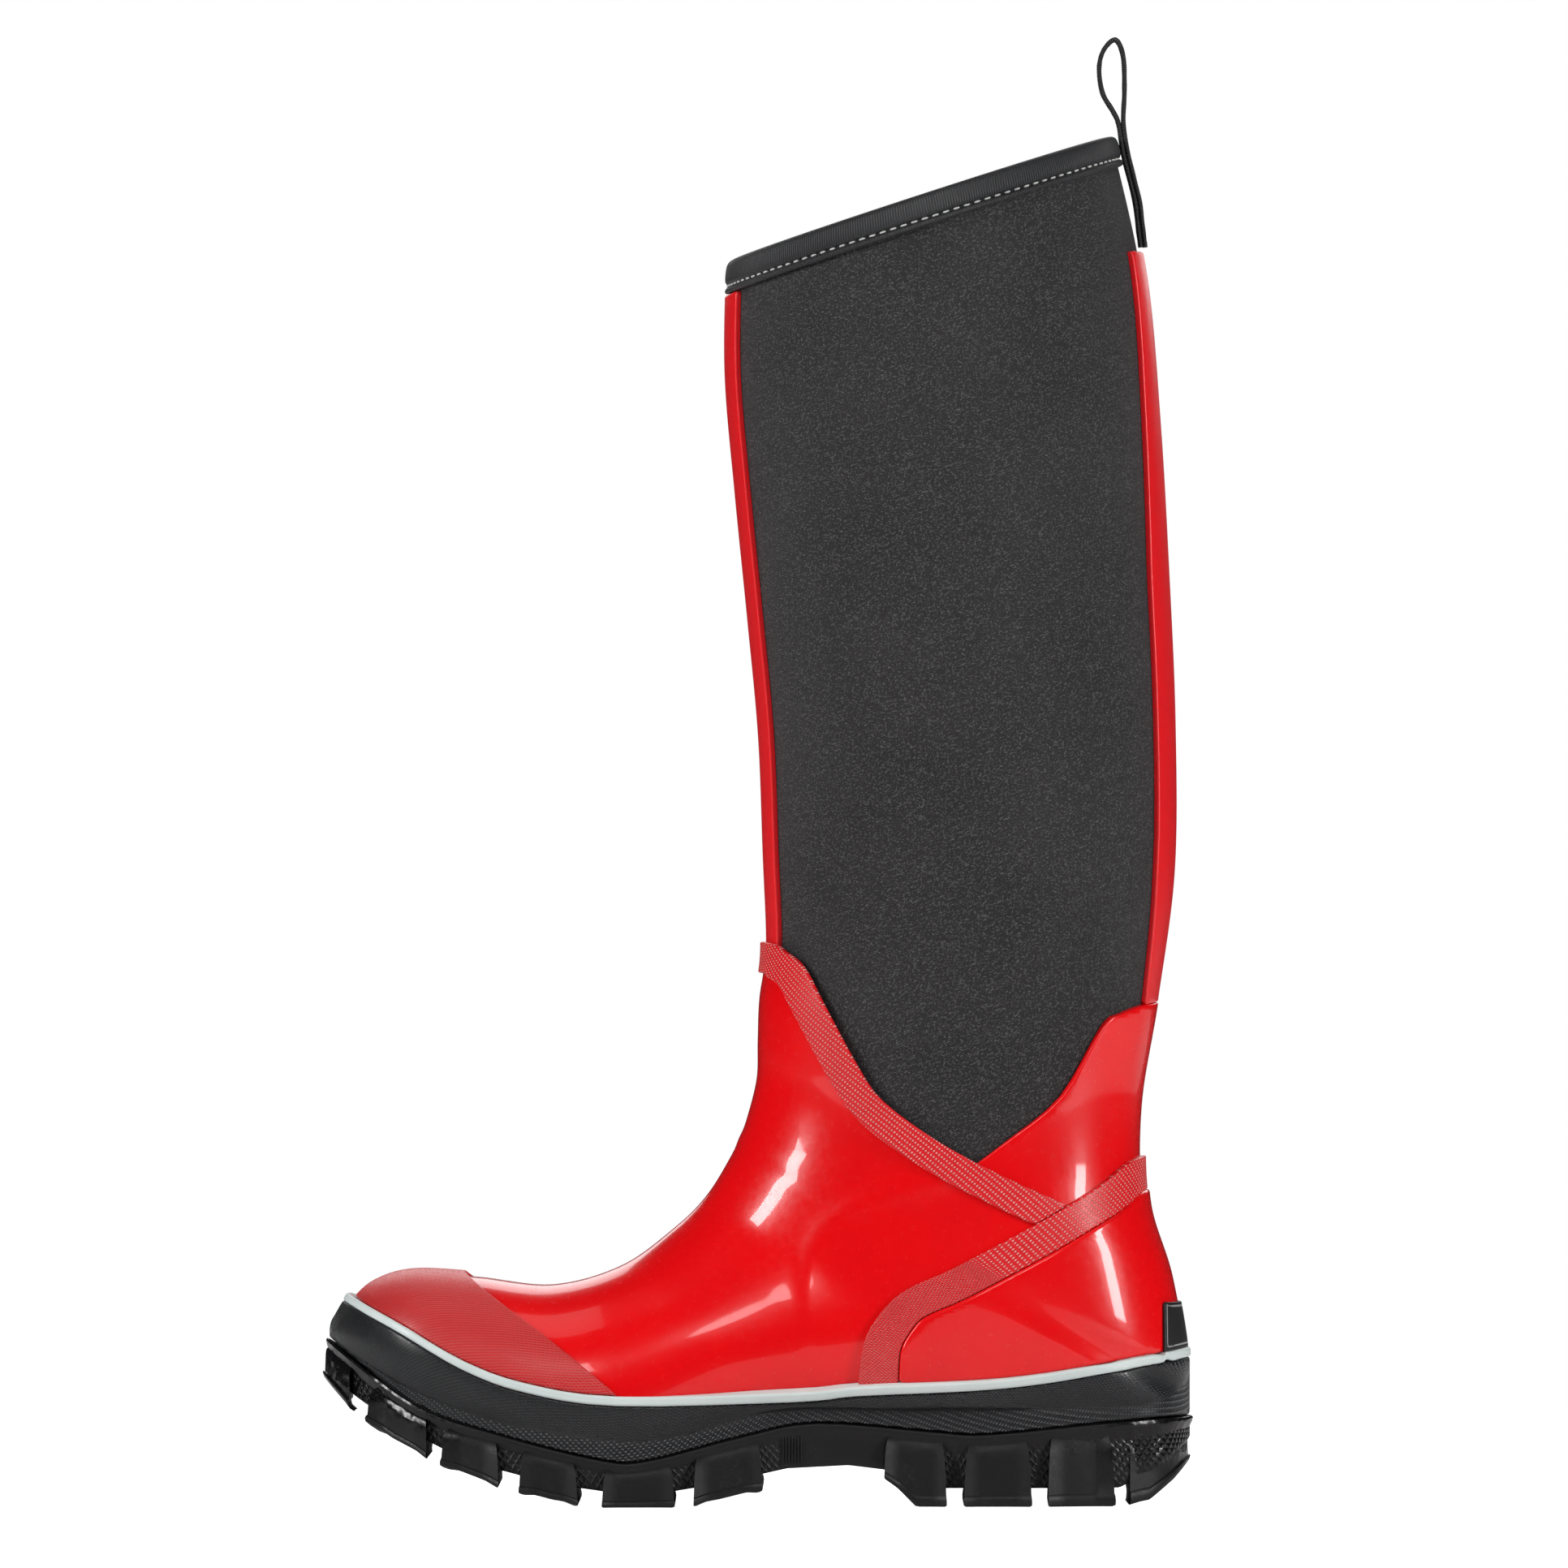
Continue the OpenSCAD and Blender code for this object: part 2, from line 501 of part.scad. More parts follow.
module midsole() color("#3a3b3d") difference() {
    intersection() {
        side_prism(slab(pocket_toe, pocket_heel, FOXING_LOW, SOLE_LINE, -pocket_depth,
                        -board_top - board_wall - glue_gap));
        plan_prism(sole_outline(midsole_reach));
    }
    shank_bar(glue_gap);
}
module insole_board() color("#8a6d4a") intersection() {
    side_prism(slab(map_x(-124), map_x(129), SOLE_LINE, SOLE_LINE, -board_top - board_wall, -board_top));
    plan_prism(sole_outline(-1));
}
// The shank lies in a pocket of the midsole, from the heel over the arch
SHANK = mapped([[-22, 14.5], [0, 21], [22, 24.2], [50, 24], [84, 23.5]]);
shank_width = 17;
module shank_bar(gap) intersection() {
    side_prism(between(curve(raised([for (i = [0:len(SHANK) - 1])
                   SHANK[i] + [i == 0 ? -gap : i == len(SHANK) - 1 ? gap : 0, 0]], shank_wall + gap), 3),
               curve([for (i = [0:len(SHANK) - 1])
                   SHANK[i] + [i == 0 ? -gap : i == len(SHANK) - 1 ? gap : 0, -gap]], 3)));
    cube([4 * reach, shank_width + 2 * gap, 4 * reach], center = true);
}
module shank() color("#b7bbbf") shank_bar(0);

// ---- Footbed ----
// The footbed lies over the lining, which is thicker upwards where the toe springs up
footbed_low = -lining_in * 1.25 + glue_gap;
footbed_toe = map_x(-112);
footbed_heel = map_x(122);
module footbed_slab(low, high) intersection() {
    side_prism(slab(footbed_toe, footbed_heel, SOLE_LINE, SOLE_LINE, low, high));
    plan_prism(sole_outline(lining_in - footbed_gap));
}
module footbed_foam() color("#55585c") footbed_slab(footbed_low, footbed_low + footbed_wall);
module footbed_cover() color("#26272a")
    footbed_slab(footbed_low + footbed_wall, footbed_low + footbed_wall + footbed_cover_wall);

outsole();
midsole();
shank();
insole_board();
foxing();
foxing_stripe();
neoprene_lateral();
neoprene_medial();
sock_lining();
toe_puff();
heel_stiffener();
vamp();
rear_collar();
instep_band();
heel_band();
heel_cover();
toe_cap();
heel_label();
front_strip();
back_strip();
top_binding();
binding_stitches();
pull_loop_tail();
pull_loop();
footbed_foam();
footbed_cover();
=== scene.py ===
"""A tall left rain boot: knit-faced neoprene shaft, glossy rubber foot, lugged sole.

Toe to -X, heel to +X, outer side to -Y, ground at Z = 0. The shapes are worked out in millimetres
and turned into metres as each mesh is made.
"""

import json
import math

import bmesh
import bpy
import numpy as np
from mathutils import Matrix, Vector

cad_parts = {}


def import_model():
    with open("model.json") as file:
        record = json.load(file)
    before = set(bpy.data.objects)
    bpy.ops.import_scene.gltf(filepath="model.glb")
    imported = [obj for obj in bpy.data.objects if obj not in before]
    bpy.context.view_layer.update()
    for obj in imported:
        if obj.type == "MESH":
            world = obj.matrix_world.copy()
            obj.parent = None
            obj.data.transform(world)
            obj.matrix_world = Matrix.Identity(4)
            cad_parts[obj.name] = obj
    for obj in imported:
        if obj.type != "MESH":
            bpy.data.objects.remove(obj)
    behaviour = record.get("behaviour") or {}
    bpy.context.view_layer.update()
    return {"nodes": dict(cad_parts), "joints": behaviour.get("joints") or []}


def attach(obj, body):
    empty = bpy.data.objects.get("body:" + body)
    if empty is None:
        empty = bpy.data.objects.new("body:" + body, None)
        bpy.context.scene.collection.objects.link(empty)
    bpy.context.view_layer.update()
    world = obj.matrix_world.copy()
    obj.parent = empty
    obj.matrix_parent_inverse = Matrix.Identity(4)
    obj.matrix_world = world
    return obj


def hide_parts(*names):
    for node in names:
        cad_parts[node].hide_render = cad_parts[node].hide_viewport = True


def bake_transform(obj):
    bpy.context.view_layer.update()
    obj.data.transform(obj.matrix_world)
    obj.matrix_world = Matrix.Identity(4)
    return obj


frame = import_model()
MM = 0.001

# ---------------------------------------------------------------- view, light and floor

VIEW_CENTRE = (0.0091, 0.2345)
VIEW_WIDTH = 0.5113
CAMERA_DISTANCE = 8.0
SENSOR = 36.0


def add_camera():
    """A long lens level with the middle of the boot, looking at its outer side."""
    data = bpy.data.cameras.new("camera")
    data.sensor_width = SENSOR
    data.lens = SENSOR * CAMERA_DISTANCE / VIEW_WIDTH
    data.clip_end = 60
    camera = bpy.data.objects.new("camera", data)
    bpy.context.scene.collection.objects.link(camera)
    camera.location = (VIEW_CENTRE[0], -CAMERA_DISTANCE, VIEW_CENTRE[1])
    camera.rotation_euler = (math.pi / 2, 0, 0)
    bpy.context.scene.camera = camera


def add_softbox(name, place, target, width, height, power):
    data = bpy.data.lights.new(name, "AREA")
    data.shape = "RECTANGLE"
    data.size = width
    data.size_y = height
    data.energy = power
    light = bpy.data.objects.new(name, data)
    light.location = place
    light.rotation_euler = (Vector(target) - Vector(place)).to_track_quat("-Z", "Y").to_euler()
    bpy.context.scene.collection.objects.link(light)


def add_world():
    """White behind the boot, and a greyer surround for its gloss to reflect."""
    world = bpy.data.worlds.new("studio")
    bpy.context.scene.world = world
    world.use_nodes = True
    tree = world.node_tree
    tree.nodes.clear()
    seen = tree.nodes.new("ShaderNodeBackground")
    seen.inputs["Color"].default_value = (1, 1, 1, 1)
    seen.inputs["Strength"].default_value = 1.0
    around = tree.nodes.new("ShaderNodeBackground")
    around.inputs["Color"].default_value = (0.93, 0.96, 1, 1)
    around.inputs["Strength"].default_value = 0.02
    path = tree.nodes.new("ShaderNodeLightPath")
    mix = tree.nodes.new("ShaderNodeMixShader")
    out = tree.nodes.new("ShaderNodeOutputWorld")
    tree.links.new(path.outputs["Is Camera Ray"], mix.inputs[0])
    tree.links.new(around.outputs[0], mix.inputs[1])
    tree.links.new(seen.outputs[0], mix.inputs[2])
    tree.links.new(mix.outputs[0], out.inputs["Surface"])


def add_studio():
    add_camera()
    add_world()
    middle = (0, 0, 0.2)
    add_softbox("left_box", (-1.5, -0.8, 0.95), middle, 0.3, 1.0, 22)
    add_softbox("right_box", (1.45, -0.75, 0.6), middle, 0.22, 0.9, 15)
    add_softbox("front_box", (0.1, -2.1, 1.75), middle, 1.0, 0.45, 13)
    add_softbox("top_box", (0.0, 0.0, 1.7), middle, 1.2, 0.9, 3)
    add_softbox("back_box", (0.2, 1.7, 0.9), middle, 1.6, 0.9, 8)
    bpy.context.scene.view_settings.view_transform = "Standard"
    bpy.ops.mesh.primitive_plane_add(size=2.4, location=(0, 0, 0))
    floor = bpy.context.object
    floor.name = "floor"
    material = bpy.data.materials.new("floor")
    material.use_nodes = True
    shader = material.node_tree.nodes["Principled BSDF"]
    shader.inputs["Base Color"].default_value = (0.95, 0.95, 0.95, 1)
    shader.inputs["Roughness"].default_value = 0.85
    shader.inputs["Emission Color"].default_value = (1, 1, 1, 1)
    seen = material.node_tree.nodes.new("ShaderNodeLightPath")
    material.node_tree.links.new(seen.outputs["Is Camera Ray"], shader.inputs["Emission Strength"])
    floor.data.materials.append(material)


# ---------------------------------------------------------------- the bootie's surface

# The ribs of the boot's last, as in the part: a straight line in the side view from the back or the
# sole to the front or the instep, with half widths, the middle and how round each end is.
RIBS = np.array([
    [112.0, 456.0, -7.2, 417.5, 57.0, 0, 0, 1.00, 1.00],
    [116.2, 443.0, -7.9, 403.5, 57.5, 0, 0, 1.00, 1.00],
    [125.6, 400.0, -8.3, 368.0, 58.8, 0, 0, 1.00, 1.00],
    [130.0, 352.0, -4.9, 328.0, 58.6, 0, 0, 1.00, 1.00],
    [132.8, 303.0, -0.9, 288.0, 56.6, 0, 0, 0.98, 0.98],
    [134.8, 255.0, 2.6, 250.0, 52.8, 0, 0, 0.95, 0.95],
    [134.6, 207.0, 4.1, 212.0, 48.6, 0, 0, 0.92, 0.92],
    [129.2, 165.0, 5.2, 181.0, 45.4, 0, 0, 0.90, 0.90],
    [123.6, 130.0, 3.2, 164.0, 43.2, 0, 0, 0.87, 0.88],
    [124.0, 98.0, 2.7, 151.0, 42.0, 0, 0, 0.84, 0.88],
    [131.2, 73.0, 2.3, 138.0, 42.0, 0, 0, 0.81, 0.90],
    [135.4, 46.0, -1.2, 124.0, 42.6, 0, 0, 0.80, 0.92],
    [131.8, 37.5, -3.6, 118.2, 42.9, 15.0, 0, 0.81, 0.94],
    [123.0, 33.0, -6.2, 112.3, 43.2, 25.5, 0, 0.82, 0.95],
    [92.0, 31.5, -14.3, 99.2, 42.6, 33.5, -0.5, 0.88, 0.95],
    [52.0, 31.0, -25.0, 88.4, 41.6, 32.0, -2.0, 0.92, 0.95],
    [6.0, 31.0, -43.0, 75.6, 42.2, 35.5, -2.5, 0.92, 0.95],
    [-36.0, 21.5, -66.0, 69.2, 45.8, 43.5, 0, 0.92, 0.92],
    [-74.0, 25.5, -91.0, 71.6, 46.4, 45.2, 2.5, 0.92, 0.88],
    [-102.0, 35.0, -111.0, 72.6, 41.0, 39.0, 4.5, 0.92, 0.85],
    [-119.0, 44.5, -122.5, 69.4, 31.0, 28.0, 6.0, 0.92, 0.85],
    [-128.3, 51.3, -129.0, 63.6, 19.0, 16.5, 7.0, 0.92, 0.88],
    [-132.4, 55.5, -132.5, 58.0, 7.0, 5.5, 7.5, 0.92, 0.92],
    [-133.2, 56.4, -133.2, 57.0, 0.01, 0, 7.5, 0.92, 0.92]])
FIRST_FOOT_RIB = 11
TIP = len(RIBS) - 1
SKIRT = 60.0
SHAFT_HEIGHT = 405.0
TOP_RISE = 0.326


def smooth(rows, u):
    """A smooth curve through rows, at u rows from its start."""
    rows, u = np.asarray(rows, float), np.asarray(u, float)
    last = len(rows) - 1
    i = np.clip(np.floor(u).astype(int), 0, last - 1)
    t = (u - i)[..., None]
    a, b, c, d = (rows[np.clip(i + k, 0, last)] for k in (-1, 0, 1, 2))
    return 0.5 * (2 * b + (c - a) * t + (2 * a - 5 * b + 4 * c - d) * t ** 2
                  + (3 * b - a - 3 * c + d) * t ** 3)


def curve(points, steps=4):
    return smooth(points, np.linspace(0, len(points) - 1, (len(points) - 1) * steps + 1))


def unit(v):
    return v / np.maximum(np.linalg.norm(v, axis=-1, keepdims=True), 1e-9)


def last_point(u, f, side):
    """A point of the bootie's outer surface: on rib u, f of the way from the back or the sole (0) to
    the front (1), on the outer (-1) or the inner (1) side. Below 0 the wall runs straight down."""
    u, f = np.broadcast_arrays(np.asarray(u, float), np.asarray(f, float))
    r = smooth(RIBS, u)
    half = np.maximum(r[..., 4], 0.01)
    base = np.where(u > FIRST_FOOT_RIB, np.clip(r[..., 5], 0, None), 0)
    start = np.arcsin(np.clip((base / half) ** (1 / r[..., 7]), 0, 0.985))
    angle = start + (np.pi - start) * np.clip(f, 0, 1)
    t = (np.cos(start) - np.cos(angle)) / (np.cos(start) + 1)
    y = half * np.maximum(np.sin(angle), 0) ** (r[..., 7] + (r[..., 8] - r[..., 7]) * t)
    x = r[..., 0] + (r[..., 2] - r[..., 0]) * t
    z = r[..., 1] + (r[..., 3] - r[..., 1]) * t - SKIRT * np.maximum(-f, 0)
    return np.stack([x, r[..., 6] + side * y, z], -1)


def last_normal(u, f, side):
    """The outward normal there. At the sole's edge it turns level, so that the walls stand upright."""
    u, f = np.broadcast_arrays(np.asarray(u, float), np.asarray(f, float))
    held = np.clip(f, 0, 1)
    du = last_point(np.minimum(u + 0.02, TIP), held, side) - last_point(np.maximum(u - 0.02, 0), held, side)
    df = last_point(u, np.minimum(held + 0.006, 1), side) - last_point(u, np.maximum(held - 0.006, 0), side)
    n = unit(np.cross(du, df) * side)
    n[..., 1] = np.where((f > 1 - 1e-6) | ((f < 1e-6) & (u <= FIRST_FOOT_RIB)), 0, n[..., 1])
    flat = unit(n * [1, 1, 0])
    level = np.clip(1 - f * 11, 0, 1) * np.clip((u - 10.6) * 2.5, 0, 1)
    return unit(n * (1 - level[..., None]) + flat * level[..., None])


def off_last(u, f, side, distance):
    distance = np.broadcast_to(distance, np.broadcast(u, f).shape)
    return last_point(u, f, side) + last_normal(u, f, side) * distance[..., None]


def rib_rows(first, end, cell):
    """Rib places from first to end, about a cell apart where the ribs spread most."""
    rows = []
    for i in range(int(math.floor(first)), int(math.ceil(end))):
        a, b = RIBS[i], RIBS[i + 1]
        gap = max(math.dist(a[:2], b[:2]), math.dist(a[2:4], b[2:4]))
        rows += list(i + np.arange(0, 1, 1 / max(2, round(gap / cell))))
    return np.array([u for u in rows if first <= u < end] + [end])


# Where a pattern lies on the rubber: millimetres round the ribs and along the last
PATTERN_U = np.linspace(0, TIP, 24 * 8 + 1)
PATTERN_F = np.linspace(-0.4, 1, 141)


def pattern_tables():
    grid = last_point(PATTERN_U[:, None], PATTERN_F[None, :], -1)
    steps_f = np.linalg.norm(np.diff(grid, axis=1), axis=2)
    steps_u = np.linalg.norm(np.diff(grid, axis=0), axis=2)
    around = np.concatenate([np.zeros((len(PATTERN_U), 1)), np.cumsum(steps_f, 1)], 1)
    along = np.concatenate([np.zeros((1, len(PATTERN_F))), np.cumsum(steps_u, 0)], 0)
    return around[:, -1:] - around, along


AROUND, ALONG = pattern_tables()


def look_up(table, u, f):
    i = np.clip(np.searchsorted(PATTERN_U, u) - 1, 0, len(PATTERN_U) - 2)
    j = np.clip(np.searchsorted(PATTERN_F, f) - 1, 0, len(PATTERN_F) - 2)
    a = (u - PATTERN_U[i]) / (PATTERN_U[i + 1] - PATTERN_U[i])
    b = (f - PATTERN_F[j]) / (PATTERN_F[j + 1] - PATTERN_F[j])
    return ((table[i, j] * (1 - b) + table[i, j + 1] * b) * (1 - a)
            + (table[i + 1, j] * (1 - b) + table[i + 1, j + 1] * b) * a)


# ---------------------------------------------------------------- outlines in the side view

REACH = 600.0
INSTEP_BAND = 10.0
HEEL_BAND = 10.5
STRIPE_HEIGHT = 3.2
GAP = 0.2


def beside(line, d0, d1=None):
    """The line that runs along another, d0 from it at its start and d1 at its end."""
    d1 = d0 if d1 is None else d1
    n = len(line)
    ends = np.clip(np.arange(n)[:, None] + [-1, 1], 0, n - 1)
    t = unit(line[ends[:, 1]] - line[ends[:, 0]])
    d = d0 + (d1 - d0) * np.maximum(0, np.linspace(0, 2.5, n) - 1.5)
    return line + d[:, None] * np.stack([t[:, 1], -t[:, 0]], 1)


def raised(line, d):
    return np.asarray(line, float) + [0, d]


def between(a, b):
    return np.concatenate([a, b[::-1]])


def above(line):
    return np.concatenate([line, [[line[-1][0], 2 * REACH], [line[0][0], 2 * REACH]]])


def below(line):
    return np.concatenate([line, [[line[-1][0], -REACH], [line[0][0], -REACH]]])


def before(line):
    return np.concatenate([line, [[line[-1][0], -REACH], [-REACH, -REACH], [-REACH, REACH],
                                  [line[0][0], REACH]]])


INSTEP_TOP = curve([[-160, 188], [-30, 185], [2, 183], [9, 180], [15, 175], [21, 164], [32, 144],
                    [41, 131.5], [60, 118], [81, 107], [101, 98], [122, 89]])
HEEL_TOP = curve([[160, 114], [127, 113.4], [112, 104], [91, 91.7], [64, 77.5], [51, 71.8],
                  [43, 66], [36, 56], [33.5, 44], [33, 28]])
COLLAR_TOP = curve([[160, 164.5], [131.8, 163.3], [119, 159.7], [113, 155.5], [99.4, 133],
                    [80.6, 118], [64, 106]])
TOE_CAP_EDGE = curve([[-99, 86], [-93.8, 75], [-65, 53], [-45.7, 37], [-36, 29]])
STRIPE_TOP = curve([[-160, 84], [-131, 67.6], [-115.5, 59.3], [-95, 47.6], [-75, 40.5], [-45, 36.1],
                    [13, 37], [33, 38.9], [69, 40.5], [94, 43], [119.5, 47.4], [160, 54.5]])
FOXING_LOW = curve([[-160, 70], [-137.7, 52.7], [-110.5, 33.3], [-85, 24.3], [-50, 15.6],
                    [-34.5, 15.6], [-4, 23.3], [20, 27.6], [58, 24.6], [76, 23.8], [120, 28],
                    [160, 30]])
INSTEP_LOW = beside(INSTEP_TOP, INSTEP_BAND)
INSTEP_MID = beside(INSTEP_TOP, INSTEP_BAND / 2)
HEEL_LOW = beside(HEEL_TOP, -HEEL_BAND, -HEEL_BAND * 1.3)
HEEL_MID = beside(HEEL_TOP, -HEEL_BAND / 2, -HEEL_BAND * 0.65)
STRIPE_CLEAR = raised(STRIPE_TOP, GAP)


def top_edge(drop):
    x = np.array([-REACH, REACH])
    return np.stack([x, SHAFT_HEIGHT + (x + 9) * TOP_RISE - drop], 1)


def distance_to(outline, points):
    """Signed distance in the side view from a closed outline, less than 0 inside it, and its gradient."""
    a, b = outline, np.roll(outline, -1, axis=0)
    keep = np.linalg.norm(b - a, axis=1) > 1e-6
    a, b = a[keep], b[keep]
    best = np.full(len(points), 1e9)
    nearest = np.zeros_like(points)
    inside = np.zeros(len(points), bool)
    for p, q in zip(a, b):
        edge = q - p
        t = np.clip((points - p) @ edge / (edge @ edge), 0, 1)
        foot = p + t[:, None] * edge
        d = np.linalg.norm(points - foot, axis=1)
        closer = d < best
        best[closer] = d[closer]
        nearest[closer] = foot[closer]
        if abs(q[1] - p[1]) > 1e-9:
            crosses = (p[1] > points[:, 1]) != (q[1] > points[:, 1])
            at = p[0] + (points[:, 1] - p[1]) * edge[0] / edge[1]
            inside ^= crosses & (points[:, 0] < at)
    sign = np.where(inside, -1.0, 1.0)
    slope = sign[:, None] * (points - nearest) / np.maximum(best, 1e-6)[:, None]
    return sign * best, slope


def region(outline, *cuts):
    """The part of the side view inside an outline and outside the cuts, as a distance function."""
    def measure(points):
        value, slope = distance_to(outline, points)
        for cut in cuts:
            other, other_slope = distance_to(cut, points)
            nearer = -other > value
            value = np.where(nearer, -other, value)
            slope = np.where(nearer[:, None], -other_slope, slope)
        return value, slope
    return measure


# ---------------------------------------------------------------- making meshes

def add_piece(name, points, faces, body, slot, material, *nodes, pattern=None, sharp=50):
    """One piece of the boot: a mesh in metres that rides on a body and stands for CAD nodes."""
    mesh = bpy.data.meshes.new(name)
    mesh.from_pydata((np.asarray(points, float) * MM).tolist(), [], [list(f) for f in faces])
    if pattern is not None:
        layer = mesh.attributes.new("pattern", "FLOAT_VECTOR", "POINT")
        layer.data.foreach_set("vector", np.asarray(pattern, np.float32).ravel())
    mesh.validate()
    mesh.polygons.foreach_set("use_smooth", [True] * len(mesh.polygons))
    mesh.set_sharp_from_angle(angle=math.radians(sharp))
    mesh.materials.append(material)
    piece = bpy.data.objects.new(name, mesh)
    bpy.context.scene.collection.objects.link(piece)
    if body:
        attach(piece, body)
    if nodes:
        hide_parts(*nodes)
    return piece


ROW_SCALE, RING_SCALE = 30.0, 180.0


def trim(measure, outer, first, end, lowest, cell, levels):
    """One side of the last as a grid of (rib, place, depth inside the region), cut along the region's
    edge and along lines at the given depths inside it."""
    us = rib_rows(first, end, cell)
    fs = np.linspace(0, 1, int(200 / cell) + 1)
    if lowest < 0:
        fs = np.concatenate([np.linspace(lowest, 0, int(-lowest * SKIRT / cell) + 2)[:-1], fs])
    u, f = (g.ravel() for g in np.meshgrid(us, fs, indexing="ij"))
    place = off_last(u, f, -1, outer)
    value, slope = measure(place[:, [0, 2]])
    n = last_normal(u, f, -1)
    across = np.einsum("ij,ij->i", n[:, [0, 2]], slope)
    depth = value / np.clip(np.sqrt(np.maximum(1 - across ** 2, 0)), 0.25, 1)
    rows, cols = len(us), len(fs)
    index = np.arange(rows * cols).reshape(rows, cols)
    cells = np.stack([index[:-1, :-1], index[1:, :-1], index[1:, 1:], index[:-1, 1:]], -1).reshape(-1, 4)
    keep = depth[cells].min(1) < 0
    keep &= ~((f[cells].min(1) < -1e-9) & (u[cells].min(1) < FIRST_FOOT_RIB - 1e-9))
    cells = cells[keep]
    used, cells = np.unique(cells, return_inverse=True)
    cells = cells.reshape(-1, 4)
    mesh = bpy.data.meshes.new("trim")
    flat = np.stack([u[used] * ROW_SCALE, f[used] * RING_SCALE, depth[used]], 1)
    mesh.from_pydata(flat.tolist(), [], cells.tolist())
    bm = bmesh.new()
    bm.from_mesh(mesh)
    bpy.data.meshes.remove(mesh)
    for level in (0.0, *levels):
        everything = bm.verts[:] + bm.edges[:] + bm.faces[:]
        bmesh.ops.bisect_plane(bm, geom=everything, dist=1e-4, plane_co=(0, 0, -level),
                               plane_no=(0, 0, 1), clear_outer=level == 0)
    bmesh.ops.remove_doubles(bm, verts=bm.verts[:], dist=0.05)
    bm.verts.index_update()
    co = np.array([v.co[:] for v in bm.verts])
    faces = [[v.index for v in face.verts] for face in bm.faces if face.calc_area() > 1e-7]
    bm.free()
    u, f = co[:, 0] / ROW_SCALE, co[:, 1] / RING_SCALE
    f = np.where(np.abs(f) < 1e-4, 0, np.where(f > 1 - 1e-4, 1, f))
    u = np.where(np.abs(u - FIRST_FOOT_RIB) < 1e-3, FIRST_FOOT_RIB, np.clip(u, 0, TIP))
    return u, f, co[:, 2], faces


def shell(outside, inside, faces, pattern):
    """A closed skin from an outer and an inner sheet with the same faces."""
    edges = {}
    for face in faces:
        edges.update(dict.fromkeys(zip(face, face[1:] + face[:1])))
    rim = [(a, b) for a, b in edges if (b, a) not in edges]
    n = len(outside)
    closed = faces + [[v + n for v in reversed(face)] for face in faces]
    closed += [[b, a, a + n, b + n] for a, b in rim]
    return np.concatenate([outside, inside]), closed, np.concatenate([pattern, pattern])


def skin(name, measure, inner, outer, slot, material, *nodes, rows=(0, TIP), lowest=0.0, edge=0.6,
         cell=2.4, sides=(-1, 1), swell=None, body="boot"):
    """A layer of the boot between two distances from the bootie, cut out in the side view, with its
    outer edge rounded over. swell adds to its thickness by place."""
    levels = [edge * k for k in (0.06, 0.22, 0.5, 1.0)] if edge else []
    u, f, depth, faces = trim(measure, outer, rows[0], rows[1], lowest, cell, levels)
    t = np.clip(-depth / edge, 0, 1) if edge else np.ones(len(u))
    drop = min(edge, 0.85 * (outer - inner)) * (1 - np.sqrt(np.clip(1 - (1 - t) ** 2, 0, 1)))
    outside, inside, pattern, all_faces = [], [], [], []
    count = len(u)
    at_seam = (f >= 1) | ((f <= 0) & (u <= FIRST_FOOT_RIB)) | (u >= TIP - 1e-6)
    for k, side in enumerate(sides):
        extra = swell(u, f, side, depth) if swell else 0
        outside.append(off_last(u, f, side, outer - drop + extra))
        inside.append(off_last(u, f, side, inner))
        pattern.append(np.stack([side * look_up(AROUND, u, f), look_up(ALONG, u, f), depth], 1))
        index = np.arange(count) + k * count
        if k == 1:
            index = np.where(at_seam, np.arange(count), index)
        for face in faces:
            corners = [int(index[v]) for v in face]
            all_faces.append(corners if side > 0 else corners[::-1])
    if inner < 0 and len(sides) == 1:
        for sheet in (outside[0], inside[0]):
            sheet[:, 1] = np.where(at_seam, sides[0] * GAP / 2, sheet[:, 1])
    points, closed, pattern = shell(np.concatenate(outside), np.concatenate(inside), all_faces,
                                    np.concatenate(pattern))
    used, flat = np.unique([v for face in closed for v in face], return_inverse=True)
    sizes = np.cumsum([len(face) for face in closed])[:-1]
    closed = [list(map(int, face)) for face in np.split(flat, sizes)]
    return add_piece(name, points[used], closed, body, slot, material, *nodes, pattern=pattern[used])


def sweep(sections, closed_path=False, caps=True):
    """A closed surface through sections, each a loop of the same number of points."""
    n, m = len(sections), len(sections[0])
    points = np.concatenate(sections)
    faces = []
    for j in range(n if closed_path else n - 1):
        k = (j + 1) % n
        for i in range(m):
            h = (i + 1) % m
            faces.append([j * m + i, j * m + h, k * m + h, k * m + i])
    if caps and not closed_path:
        faces += [list(range(m))[::-1], [(n - 1) * m + i for i in range(m)]]
    return points, faces


def join(parts):
    """Several (points, faces) as one."""
    points, faces, start = [], [], 0
    for p, f in parts:
        points.append(np.asarray(p, float))
        faces += [[v + start for v in face] for face in f]
        start += len(p)
    return np.concatenate(points), faces


# ---------------------------------------------------------------- materials

